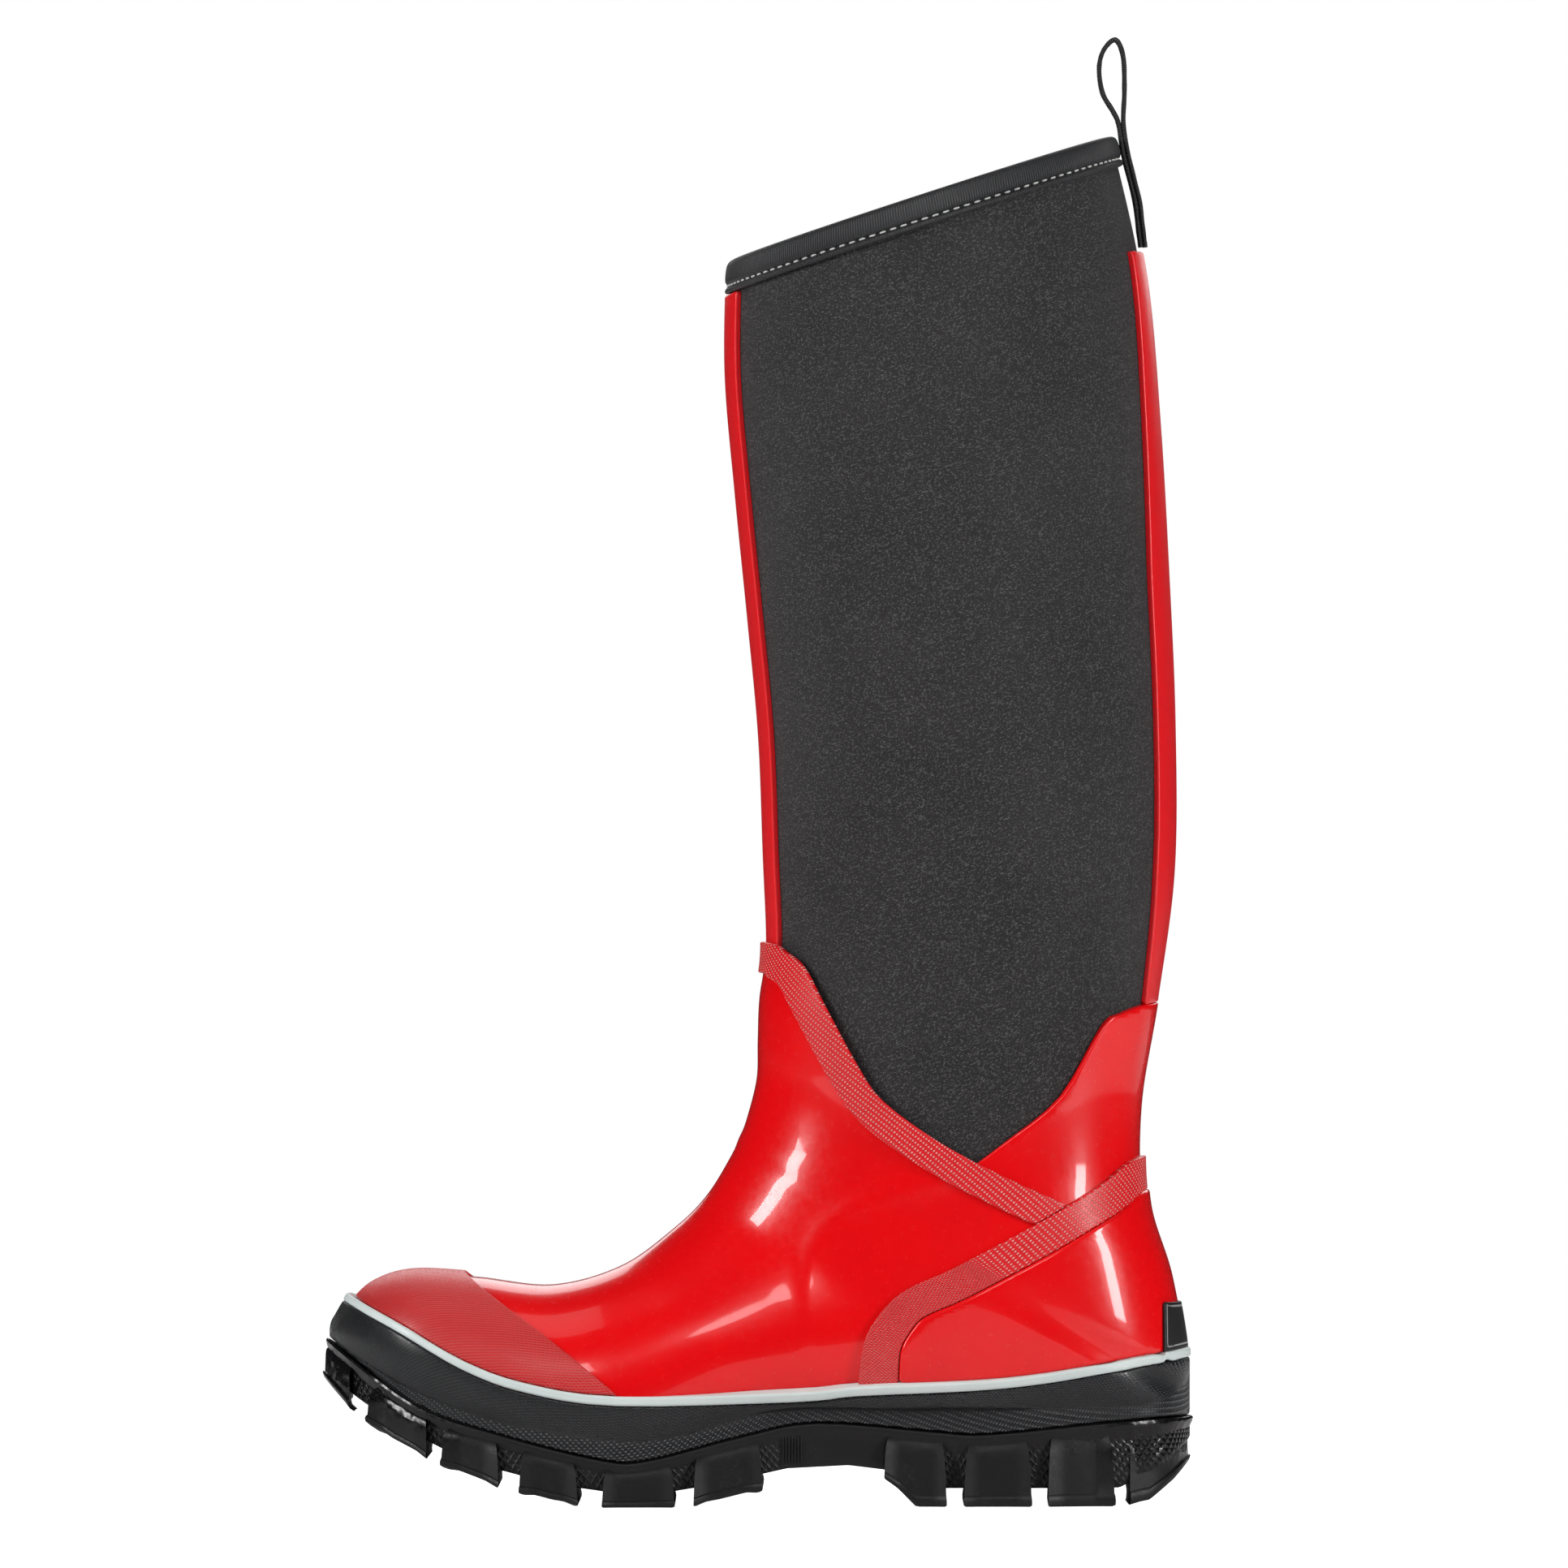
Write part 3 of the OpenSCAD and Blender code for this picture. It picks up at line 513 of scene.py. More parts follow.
class Tree:
    """Short ways to add and wire nodes in a material or a group."""

    def __init__(self, tree):
        self.tree = tree

    def put(self, socket, value):
        if isinstance(value, bpy.types.NodeSocket):
            self.tree.links.new(value, socket)
        else:
            socket.default_value = value

    def add(self, kind, out=0, **inputs):
        node = self.tree.nodes.new(kind)
        for key, value in inputs.items():
            self.put(node.inputs[key.replace("_", " ")], value)
        return node.outputs[out]

    def maths(self, operation, a, b=0.0, c=0.0, clamp=False):
        node = self.tree.nodes.new("ShaderNodeMath")
        node.operation = operation
        node.use_clamp = clamp
        for socket, value in zip(node.inputs, (a, b, c)):
            self.put(socket, value)
        return node.outputs[0]

    def split(self, vector):
        node = self.tree.nodes.new("ShaderNodeSeparateXYZ")
        self.put(node.inputs[0], vector)
        return node.outputs

    def mix(self, amount, a, b):
        node = self.tree.nodes.new("ShaderNodeMix")
        node.data_type = "RGBA"
        self.put(node.inputs["Factor"], amount)
        for socket, value in ((node.inputs[6], a), (node.inputs[7], b)):
            self.put(socket, value if isinstance(value, bpy.types.NodeSocket) else (*value, 1))
        return node.outputs[2]

    def ramp(self, value, low, high, to_low=0.0, to_high=1.0):
        node = self.tree.nodes.new("ShaderNodeMapRange")
        for socket, number in zip(node.inputs, (value, low, high, to_low, to_high)):
            self.put(socket, number)
        return node.outputs[0]

    def noise(self, vector, scale, detail=3.0, roughness=0.55):
        return self.add("ShaderNodeTexNoise", 0, Vector=vector, Scale=scale, Detail=detail,
                        Roughness=roughness)

    def group(self, tree, **inputs):
        node = self.tree.nodes.new("ShaderNodeGroup")
        node.node_tree = tree
        for key, value in inputs.items():
            self.put(node.inputs[key], value)
        return node.outputs


def new_group(name, inputs, outputs):
    tree = bpy.data.node_groups.new(name, "ShaderNodeTree")
    for key, kind in inputs.items():
        tree.interface.new_socket(key, in_out="INPUT", socket_type=kind)
    for key, kind in outputs.items():
        tree.interface.new_socket(key, in_out="OUTPUT", socket_type=kind)
    return Tree(tree), tree.nodes.new("NodeGroupInput").outputs, tree.nodes.new("NodeGroupOutput").inputs


FLOAT, VECTOR = "NodeSocketFloat", "NodeSocketVector"


def group_dots():
    """Fine round dots in staggered rows, a pitch apart."""
    t, given, out = new_group("embossed_dots", {"Place": VECTOR, "Pitch": FLOAT}, {"Height": FLOAT})
    x, y, _ = t.split(given["Place"])
    turn = t.maths("DIVIDE", math.tau / math.sqrt(2), given["Pitch"])
    waves = [t.maths("COSINE", t.maths("MULTIPLY", axis, turn)) for axis in (x, y)]
    t.put(out["Height"], t.maths("MAXIMUM", t.maths("MULTIPLY", *waves), 0.0))
    return t.tree


def group_ribs():
    """Straight round ribs, a pitch apart, along one direction of the pattern."""
    t, given, out = new_group("ribs", {"Along": FLOAT, "Pitch": FLOAT}, {"Height": FLOAT})
    wave = t.maths("SINE", t.maths("MULTIPLY", given["Along"],
                                   t.maths("DIVIDE", math.pi, given["Pitch"])))
    t.put(out["Height"], t.maths("ABSOLUTE", wave))
    return t.tree


def group_knit():
    """Knitted wales: small slanted loops side by side in columns."""
    t, given, out = new_group("knit", {"Place": VECTOR, "Pitch": FLOAT}, {"Height": FLOAT, "Fleck": FLOAT})
    x, y, _ = t.split(given["Place"])
    column = t.maths("DIVIDE", x, given["Pitch"])
    slant = t.maths("ABSOLUTE", t.maths("SUBTRACT", t.maths("FRACT", column), 0.5))
    row = t.maths("ADD", t.maths("DIVIDE", y, t.maths("MULTIPLY", given["Pitch"], 0.8)),
                  t.maths("MULTIPLY", slant, 1.6))
    loops = t.maths("ABSOLUTE", t.maths("SINE", t.maths("MULTIPLY", row, math.pi)))
    wales = t.maths("ABSOLUTE", t.maths("SINE", t.maths("MULTIPLY", column, math.tau)))
    height = t.maths("MULTIPLY", loops, t.maths("ADD", t.maths("MULTIPLY", wales, 0.6), 0.4))
    fleck = t.noise(given["Place"], 1.3, 1.0, 0.7)
    t.put(out["Height"], height)
    t.put(out["Fleck"], t.ramp(fleck, 0.5, 0.72))
    return t.tree


def group_wear():
    """Soft mottling and small scuffs for a moulded surface."""
    t, given, out = new_group("wear", {"Place": VECTOR, "Scale": FLOAT},
                              {"Mottle": FLOAT, "Scuff": FLOAT, "Grain": FLOAT})
    broad = t.noise(given["Place"], given["Scale"], 4.0)
    fine = t.noise(given["Place"], t.maths("MULTIPLY", given["Scale"], 14.0), 2.0, 0.6)
    t.put(out["Mottle"], t.ramp(broad, 0.3, 0.7))
    t.put(out["Scuff"], t.ramp(t.maths("MULTIPLY", broad, fine), 0.33, 0.42))
    t.put(out["Grain"], fine)
    return t.tree


DOTS, RIB_LINES, KNIT, WEAR = group_dots(), group_ribs(), group_knit(), group_wear()


def new_material(name):
    """A material with its tree, its surface shader, the pattern's place and the place in millimetres."""
    material = bpy.data.materials.new(name)
    material.use_nodes = True
    t = Tree(material.node_tree)
    shader = material.node_tree.nodes["Principled BSDF"].inputs
    attribute = material.node_tree.nodes.new("ShaderNodeAttribute")
    attribute.attribute_name = "pattern"
    place = t.add("ShaderNodeTexCoord", "Object")
    scaled = t.tree.nodes.new("ShaderNodeVectorMath")
    scaled.operation = "SCALE"
    t.put(scaled.inputs[0], place)
    scaled.inputs["Scale"].default_value = 1 / MM
    return material, t, shader, attribute.outputs["Vector"], scaled.outputs[0]


def bump(t, shader, height, depth_mm, base=None):
    """Bump of a real depth, in millimetres, for a height from 0 to 1."""
    node = t.tree.nodes.new("ShaderNodeBump")
    node.inputs["Strength"].default_value = 1.0
    node.inputs["Distance"].default_value = depth_mm * MM
    t.put(node.inputs["Height"], height)
    if base is not None:
        t.put(node.inputs["Normal"], base)
    t.put(shader["Normal"], node.outputs[0])
    return node.outputs[0]


def constants(shader, **values):
    for key, value in values.items():
        shader[key.replace("_", " ")].default_value = value


RED = (0.86, 0.002, 0.004)
# DEEP_RED is the band rubber's red between its dots, set darker as painted shade in the gaps; the pale pink
# after it is a painted highlight for the dot tops.
DEEP_RED = (0.74, 0.003, 0.008)
DOT_HIGHLIGHT_RED = (1.0, 0.55, 0.50)


def gloss_rubber(name):
    """Smooth coated red rubber with a slight orange peel."""
    m, t, shader, _, place = new_material(name)
    wear = t.group(WEAR, Place=place, Scale=0.03)
    t.put(shader["Base Color"], t.mix(wear["Mottle"], RED, (0.80, 0.0015, 0.004)))
    t.put(shader["Roughness"], t.ramp(wear["Grain"], 0.3, 0.7, 0.22, 0.28))
    constants(shader, Specular_IOR_Level=0.3, Coat_Weight=0.5, Coat_Roughness=0.05)
    peel = t.noise(place, 0.22, 2.0)
    first = bump(t, shader, peel, 0.05)
    bump(t, shader, t.noise(place, 2.6, 2.0), 0.003, first)
    return m


def dotted_rubber(name, low, high, pitch=1.3, roughness=(0.34, 0.46)):
    """Rubber sheet embossed with fine dots: high is a painted highlight on the dot tops, mottled a little,
    and low fills the gaps between them.
    """
    m, t, shader, pattern, place = new_material(name)
    dots = t.group(DOTS, Place=pattern, Pitch=pitch)["Height"]
    wear = t.group(WEAR, Place=place, Scale=0.05)
    # Painted highlight: the dot tops take the high colour, the gaps the low one.
    top = t.ramp(dots, 0.4, 0.85, 0.0, 0.85)
    shade = t.mix(wear["Mottle"], high, tuple(c * 0.8 for c in high))
    t.put(shader["Base Color"], t.mix(top, low, shade))
    t.put(shader["Roughness"], t.ramp(wear["Grain"], 0.3, 0.7, *roughness))
    constants(shader, Coat_Weight=0.1, Coat_Roughness=0.25)
    bump(t, shader, dots, 0.35)
    return m


def red_strip(name):
    """Plain red rubber strip with a calendered grain along it."""
    m, t, shader, pattern, _ = new_material(name)
    lines = t.noise(pattern, 1.4, 2.0)
    t.put(shader["Base Color"], t.mix(t.ramp(lines, 0.3, 0.7), (0.74, 0.012, 0.02), RED))
    t.put(shader["Roughness"], t.ramp(lines, 0.3, 0.7, 0.3, 0.42))
    constants(shader, Coat_Weight=0.2, Coat_Roughness=0.2)
    bump(t, shader, lines, 0.05)
    return m


def stripe_rubber(name):
    m, t, shader, _, place = new_material(name)
    wear = t.group(WEAR, Place=place, Scale=0.06)
    t.put(shader["Base Color"], t.mix(wear["Mottle"], (0.60, 0.68, 0.66), (0.68, 0.75, 0.73)))
    t.put(shader["Roughness"], t.ramp(wear["Grain"], 0.3, 0.7, 0.34, 0.48))
    bump(t, shader, wear["Grain"], 0.03)
    return m


def neoprene_knit(name):
    """Charcoal knit face of the neoprene, with pale flecks and fine ribs."""
    m, t, shader, pattern, place = new_material(name)
    knit = t.group(KNIT, Place=pattern, Pitch=0.95)
    wear = t.group(WEAR, Place=place, Scale=0.02)
    shade = t.mix(wear["Mottle"], (0.0105, 0.010, 0.011), (0.020, 0.019, 0.020))
    t.put(shader["Base Color"], t.mix(t.maths("MULTIPLY", knit["Fleck"], knit["Height"]), shade,
                                      (0.16, 0.155, 0.16)))
    t.put(shader["Roughness"], t.ramp(knit["Height"], 0.0, 1.0, 0.85, 0.58))
    constants(shader, Specular_IOR_Level=0.35, Sheen_Weight=0.08, Sheen_Roughness=0.4)
    lines = t.group(RIB_LINES, Along=t.split(pattern)[1], Pitch=1.5)["Height"]
    first = bump(t, shader, knit["Height"], 0.10)
    bump(t, shader, lines, 0.05, first)
    return m


def jersey(name, shade):
    """Thin knitted lining, painted darker between the knit loops as painted shade."""
    m, t, shader, pattern, _ = new_material(name)
    knit = t.group(KNIT, Place=pattern, Pitch=0.7)
    # Painted shade: the hollows between the loops are half as bright as the loop tops.
    t.put(shader["Base Color"], t.mix(knit["Height"], tuple(c * 0.5 for c in shade), shade))
    t.put(shader["Roughness"], t.ramp(knit["Fleck"], 0.0, 1.0, 0.95, 0.8))
    constants(shader, Sheen_Weight=0.3, Sheen_Roughness=0.5)
    bump(t, shader, knit["Height"], 0.08)
    return m


def ribbed_tape(name, pitch, shade, depth):
    """Woven tape or webbing with ribs across it, painted darker in the grooves between the ribs as painted
    shade.
    """
    m, t, shader, pattern, place = new_material(name)
    ribs = t.group(RIB_LINES, Along=t.split(pattern)[0], Pitch=pitch)["Height"]
    thread = t.noise(place, 2.4, 2.0)
    # Painted shade: the grooves between the ribs are darkened to a third of the tape's colour.
    t.put(shader["Base Color"], t.mix(ribs, tuple(c * 0.35 for c in shade), shade))
    t.put(shader["Roughness"], t.ramp(thread, 0.3, 0.7, 0.42, 0.62))
    constants(shader, Sheen_Weight=0.1, Sheen_Roughness=0.35)
    first = bump(t, shader, ribs, depth)
    bump(t, shader, thread, 0.05, first)
    return m


def thread(name):
    m, t, shader, _, place = new_material(name)
    twist = t.group(RIB_LINES, Along=t.split(place)[0], Pitch=0.35)["Height"]
    # Painted shade: the grooves of the twist are painted darker than its crests.
    t.put(shader["Base Color"], t.mix(twist, (0.42, 0.42, 0.41), (0.66, 0.66, 0.64)))
    t.put(shader["Roughness"], t.ramp(twist, 0, 1, 0.8, 0.6))
    bump(t, shader, twist, 0.04)
    return m


def sole_rubber(name):
    """Black moulded rubber, dusty on the lugs and glossier over the toe and the heel, with a
    cross-hatched grip between the lugs."""
    m, t, shader, pattern, place = new_material(name)
    wear = t.group(WEAR, Place=place, Scale=0.09)
    x, _, z = t.split(place)
    a, b, hatch = t.split(pattern)
    ends = t.maths("MAXIMUM", t.ramp(x, -88, -112), t.ramp(x, 108, 122))
    high = t.ramp(t.maths("SUBTRACT", z, t.ramp(x, -140, -90, 30, 5)), 6, 12)
    shine = t.maths("MULTIPLY", ends, high, clamp=True)
    t.put(shader["Base Color"], t.mix(wear["Scuff"], (0.0035, 0.0035, 0.004), (0.012, 0.012, 0.013)))
    rough = t.ramp(wear["Grain"], 0.3, 0.7, 0.40, 0.58)
    t.put(shader["Roughness"], t.maths("SUBTRACT", rough, t.maths("MULTIPLY", shine, 0.28)))
    constants(shader, Specular_IOR_Level=0.35)
    lines = []
    for sign in (1, -0.6):
        slant = t.maths("ADD", a, t.maths("MULTIPLY", b, sign))
        lines.append(t.group(RIB_LINES, Along=slant, Pitch=2.5)["Height"])
    grip = t.maths("MULTIPLY", t.maths("MINIMUM", *lines), hatch)
    first = bump(t, shader, grip, 0.3)
    ripple = t.maths("MULTIPLY", t.noise(place, 0.16, 1.0, 0.5), t.ramp(shine, 0.0, 1.0, 0.1, 1.0))
    bump(t, shader, ripple, 0.9, first)
    return m


def label_rubber(name):
    """Plain black patch with a fine raised border."""
    m, t, shader, pattern, place = new_material(name)
    depth = t.maths("MULTIPLY", t.split(pattern)[2], -1.0)
    border = t.maths("MULTIPLY", t.ramp(depth, 1.0, 1.15), t.ramp(depth, 1.7, 1.55))
    wear = t.group(WEAR, Place=place, Scale=0.2)
    t.put(shader["Base Color"], t.mix(border, (0.012, 0.012, 0.013), (0.30, 0.30, 0.30)))
    t.put(shader["Roughness"], t.ramp(wear["Grain"], 0.3, 0.7, 0.35, 0.5))
    bump(t, shader, border, 0.2)
    return m


def plain_inner(name, low, high, roughness, metallic=0.0):
    """Finish of a piece that is hidden inside the sole or between layers."""
    m, t, shader, _, place = new_material(name)
    wear = t.group(WEAR, Place=place, Scale=0.15)
    t.put(shader["Base Color"], t.mix(wear["Mottle"], low, high))
    t.put(shader["Roughness"], t.ramp(wear["Grain"], 0.3, 0.7, *roughness))
    constants(shader, Metallic=metallic)
    bump(t, shader, wear["Grain"], 0.08)
    return m


# ---------------------------------------------------------------- distances from the bootie

NEOPRENE = 4.0
LINING_OUT = -NEOPRENE - GAP
LINING_IN = LINING_OUT - 0.8
UPPER_IN = GAP
UPPER_OUT = UPPER_IN + 2.0
BAND_IN = UPPER_OUT + GAP
BAND_OUT = BAND_IN + 1.5
CAP_OUT = BAND_IN + 1.6
COVER_OUT = BAND_IN + 2.4
FOXING_OUT = BAND_IN + 3.6
STRIPE_OUT = FOXING_OUT + 0.5
STRIP_OUT = UPPER_IN + 1.8
BINDING_HEIGHT = 10.7
BINDING_OUT = GAP + 1.2


def build_bootie():
    """The two neoprene halves and the knitted lining inside them."""
    shaft = region(below(top_edge(1.4)))
    for name, side in (("neoprene_lateral", -1), ("neoprene_medial", 1)):
        skin(name, shaft, -NEOPRENE, 0.0, "neoprene", neoprene_knit(name), name,
             rows=(0.2, 21), edge=0.0, sides=(side,), cell=3.0)
    skin("sock_lining", shaft, LINING_IN, LINING_OUT, "lining_knit",
         jersey("lining_knit", (0.03, 0.031, 0.034)), "sock_lining", rows=(0.2, 21), edge=0.0, cell=3.4)


def ridge_under_vamp(u, f, side, depth):
    """The front edge of the rear collar shows through the vamp as a soft raised fold."""
    place = last_point(u, f, side)[:, [0, 2]]
    value, _ = distance_to(COLLAR_FOLD, place)
    low = np.clip((place[:, 1] - 40) / 12, 0, 1)
    return low * (0.5 * np.exp(-(value / 3.2) ** 2) + 0.25 / (1 + np.exp(np.clip(value / 1.6, -30, 30))))


COLLAR_FOLD = np.concatenate([curve([[76, 118], [66, 108.5], [45, 102], [28, 94.7], [20, 86], [17.5, 76],
                                     [18, 62], [20, 36]]), [[120, 36], [150, 90]]])


def build_upper():
    """The glossy vamp and rear collar, the two bands, the toe cap and the heel cover."""
    gloss = gloss_rubber("gloss_rubber")
    dotted = dotted_rubber("band_rubber", DEEP_RED, DOT_HIGHLIGHT_RED)
    skin("vamp", region(below(beside(INSTEP_MID, 0.1)), below(beside(HEEL_MID, 0.1)),
                        below(raised(FOXING_LOW, 7))),
         UPPER_IN, UPPER_OUT, "gloss_rubber", gloss, "vamp", rows=(6.5, 21.5),
         swell=ridge_under_vamp)
    skin("rear_collar", region(below(COLLAR_TOP), below(beside(INSTEP_MID, -0.1)),
                               below(beside(HEEL_MID, 0.1))),
         UPPER_IN, UPPER_OUT, "gloss_rubber", gloss, "rear_collar", rows=(6, 13), cell=2.0)
    skin("instep_band", region(between(INSTEP_TOP, INSTEP_LOW), below(beside(HEEL_TOP, 0.2))),
         BAND_IN, BAND_OUT, "band_rubber", dotted, "instep_band", rows=(6, 13), cell=1.6, edge=0.5)
    skin("heel_band", region(between(HEEL_TOP, HEEL_LOW), below(STRIPE_CLEAR)),
         BAND_IN, BAND_OUT + 0.25, "band_rubber", dotted, "heel_band", rows=(7.5, 17), cell=1.6,
         edge=0.5)
    skin("heel_cover", region(below(beside(HEEL_LOW, -0.2)), below(STRIPE_CLEAR)),
         BAND_IN, COVER_OUT, "gloss_rubber", gloss, "heel_cover", rows=(8, 17), cell=2.0, edge=1.2)
    skin("toe_cap", region(before(TOE_CAP_EDGE), below(STRIPE_CLEAR)),
         BAND_IN, CAP_OUT, "band_rubber", dotted, "toe_cap", rows=(16, 22), cell=1.8, edge=0.6)
    skin("heel_label", region(np.array([[133, 50.0], [160, 50], [160, 66], [133, 66]]),
                              below(STRIPE_CLEAR)),
         COVER_OUT + GAP, COVER_OUT + GAP + 0.9, "label", label_rubber("label"), "heel_label",
         rows=(9, 13), cell=1.2, edge=0.3)


def build_foxing():
    """The embossed black rand and the pale stripe over it, right round the boot."""
    # The grey given for the dot tops is a painted highlight; the rand itself is near black.
    black = dotted_rubber("foxing_rubber", (0.003, 0.0035, 0.0045), (0.10, 0.105, 0.115), pitch=1.3,
                          roughness=(0.26, 0.38))
    skin("foxing", region(between(raised(STRIPE_TOP, -STRIPE_HEIGHT - GAP), FOXING_LOW)),
         BAND_IN, FOXING_OUT, "foxing_rubber", black, "foxing", rows=(9.5, TIP),
         lowest=-0.4, cell=1.9, edge=0.7)
    skin("foxing_stripe", region(between(STRIPE_TOP, raised(STRIPE_TOP, -STRIPE_HEIGHT))),
         BAND_IN, STRIPE_OUT, "stripe_rubber", stripe_rubber("stripe_rubber"), "foxing_stripe",
         rows=(9.5, TIP), lowest=-0.2, cell=1.7, edge=0.9)


def build_strips():
    """The red strips down the front and the back of the shaft."""
    red = red_strip("strip_rubber")
    ribs = smooth(RIBS, np.linspace(0, 10, 41))
    front = ribs[:37, [2, 3]] + [3.6 - STRIP_OUT, 0]
    skin("front_strip", region(before(front), above(np.array([[-30.0, 389], [-4, 396.4], [30, 400]])),
                               above(top_edge(BINDING_HEIGHT + GAP)), below(beside(INSTEP_MID, -0.1))),
         UPPER_IN, STRIP_OUT, "strip_rubber", red, "front_strip", rows=(0.5, 9), cell=1.6, edge=0.7)
    shown = np.interp(ribs[::-1, 1], [150, 165, 205, 300, 370, 408], [4, 4, 6, 6.2, 4.6, 3.7])[::-1]
    back = ribs[:, [0, 1]] + np.stack([STRIP_OUT - shown, 0 * shown], 1)
    outline = np.concatenate([back, [[REACH, 60], [REACH, REACH]]])
    end = 408.0
    skin("back_strip", region(outline, np.array([[0, end], [REACH, end], [REACH, REACH], [0, REACH]]),
                              below(raised(COLLAR_TOP, GAP))),
         UPPER_IN, STRIP_OUT, "strip_rubber", red, "back_strip", rows=(0.5, 9), cell=1.6, edge=0.7)


# ---------------------------------------------------------------- top binding

STITCH_DROP = 8.2
STITCH_PITCH = 3.6
STITCH_HALF = 1.15
THREAD_RADIUS = 0.34
UNDER_TAIL = 7.5
SHAFT_MIDDLE = 53.0


def rim_points(f, side, drop, offset):
    """Points at a distance under the top edge and off the bootie, round the opening."""
    low, high = np.zeros_like(f), np.full_like(f, 3.0)
    for _ in range(26):
        middle = (low + high) / 2
        p = off_last(middle, f, side, offset)
        over = p[:, 2] - (SHAFT_HEIGHT + (p[:, 0] + 9) * TOP_RISE) + drop > 0
        low, high = np.where(over, middle, low), np.where(over, high, middle)
    return off_last(low, f, side, offset)


def opening(count, drop, offset):
    """A closed loop round the opening, from the back over the outer side to the front and on."""
    half = (1 - np.cos(np.linspace(0, math.pi, count + 1))) / 2 * 0.5 + np.linspace(0, 1, count + 1) * 0.5
    offsets = np.resize(np.broadcast_to(offset, 2 * count), 2 * count + 1)
    outer = rim_points(half, -1, drop, offsets[:count + 1])
    inner = rim_points(half[::-1], 1, drop, offsets[count:])
    return np.concatenate([outer[:-1], inner[:-1]])


def arc_lengths(loop):
    return np.concatenate([[0], np.cumsum(np.linalg.norm(np.diff(loop, axis=0), axis=1))])


BINDING_PROFILE = [[10.75, 0.6], [10.6, 1.45], [10.1, 1.95], [9.4, 2.05], [8.75, 1.6], [STITCH_DROP, 1.0],
                   [7.6, 1.5], [6.6, 2.0], [5.0, 2.1], [3.0, 1.95], [1.4, 1.6], [0.4, 0.8], [-0.05, -0.6],
                   [-0.15, -2.6], [0.1, -4.6], [0.9, -6.0], [2.4, -6.6], [5.0, -6.6], [7.4, -6.2],
                   [STITCH_DROP, -5.9], [9.2, -6.3], [10.3, -6.3], [10.7, -5.6]]


def build_binding():
    """Ribbed tape folded over the top edge, pinched along its row of stitches."""
    outer = curve(BINDING_PROFILE, 3)
    profile = np.concatenate([outer, [[10.6, -5.2], [1.4, -5.2], [1.4, 0.2], [10.6, 0.2]]])
    around = arc_lengths(opening(150, 5.0, 0.0))
    pull = 0.5 + 0.5 * np.cos(math.tau * around / STITCH_PITCH)
    loops, pattern = [], []
    for k, (drop, offset) in enumerate(profile):
        near = math.exp(-((drop - STITCH_DROP) / 0.8) ** 2) * (k < len(outer))
        inward = -0.3 if offset > 0 else 0.3
        loops.append(opening(150, drop, offset + near * inward * pull))
        pattern.append(np.stack([around, np.full_like(around, drop), 0 * around], 1))
    sections = np.stack(loops, 1)
    points, faces = sweep(list(sections), closed_path=True)
    add_piece("top_binding", points, [f[::-1] for f in faces], "boot", "binding_tape",
              ribbed_tape("binding_tape", 0.85, (0.016, 0.0165, 0.019), 0.16), "top_binding",
              pattern=np.stack(pattern, 1).reshape(-1, 3), sharp=70)


def build_stitches():
    """Pale thread along the binding, outside and inside, but not under the pull loop's tail."""
    capsules = []
    spread = np.linspace(-1, 1, 7)
    turn = np.arange(8) * math.tau / 8
    for offset, up in ((1.12, 1), (-6.05, -1)):
        loop = opening(220, STITCH_DROP, offset)
        loop = np.concatenate([loop, loop[:1]])
        run = arc_lengths(loop)
        count = int(run[-1] / STITCH_PITCH)
        for centre in (np.arange(count) + 0.5) * run[-1] / count:
            at = centre + spread * STITCH_HALF
            spine = np.stack([np.interp(at, run, loop[:, a], period=run[-1]) for a in range(3)], 1)
            if up > 0 and spine[3, 0] > 0 and abs(spine[3, 1]) < UNDER_TAIL:
                continue
            out = unit(np.array([spine[3, 0] - SHAFT_MIDDLE, spine[3, 1], 0])) * up
            rise = unit(np.cross(spine[-1] - spine[0], out))
            ring = np.cos(turn)[:, None] * out + np.sin(turn)[:, None] * rise
            sections = []
            for s, p in zip(spread, spine):
                r = THREAD_RADIUS * math.sqrt(max(1 - s ** 4, 0.02))
                sections.append(p + out * 0.16 * (1 - s ** 2) + r * ring)
            capsules.append(sweep(sections))
    points, faces = join(capsules)
    add_piece("binding_stitches", points, faces, "boot", "thread", thread("thread"), "binding_stitches",
              sharp=80)


# ---------------------------------------------------------------- pull loop

WEBBING_WIDTH = 11.0
WEBBING_WALL = 1.45
TAIL_IN = BINDING_OUT + GAP


def back_points(heights, offset):
    """Points at the middle of the back, off the bootie, at these heights."""
    us = np.linspace(0, 4, 400)
    line = off_last(us, np.zeros_like(us), -1, offset)
    return [[float(np.interp(-z, -line[:, 2], line[:, 0])), z] for z in heights]


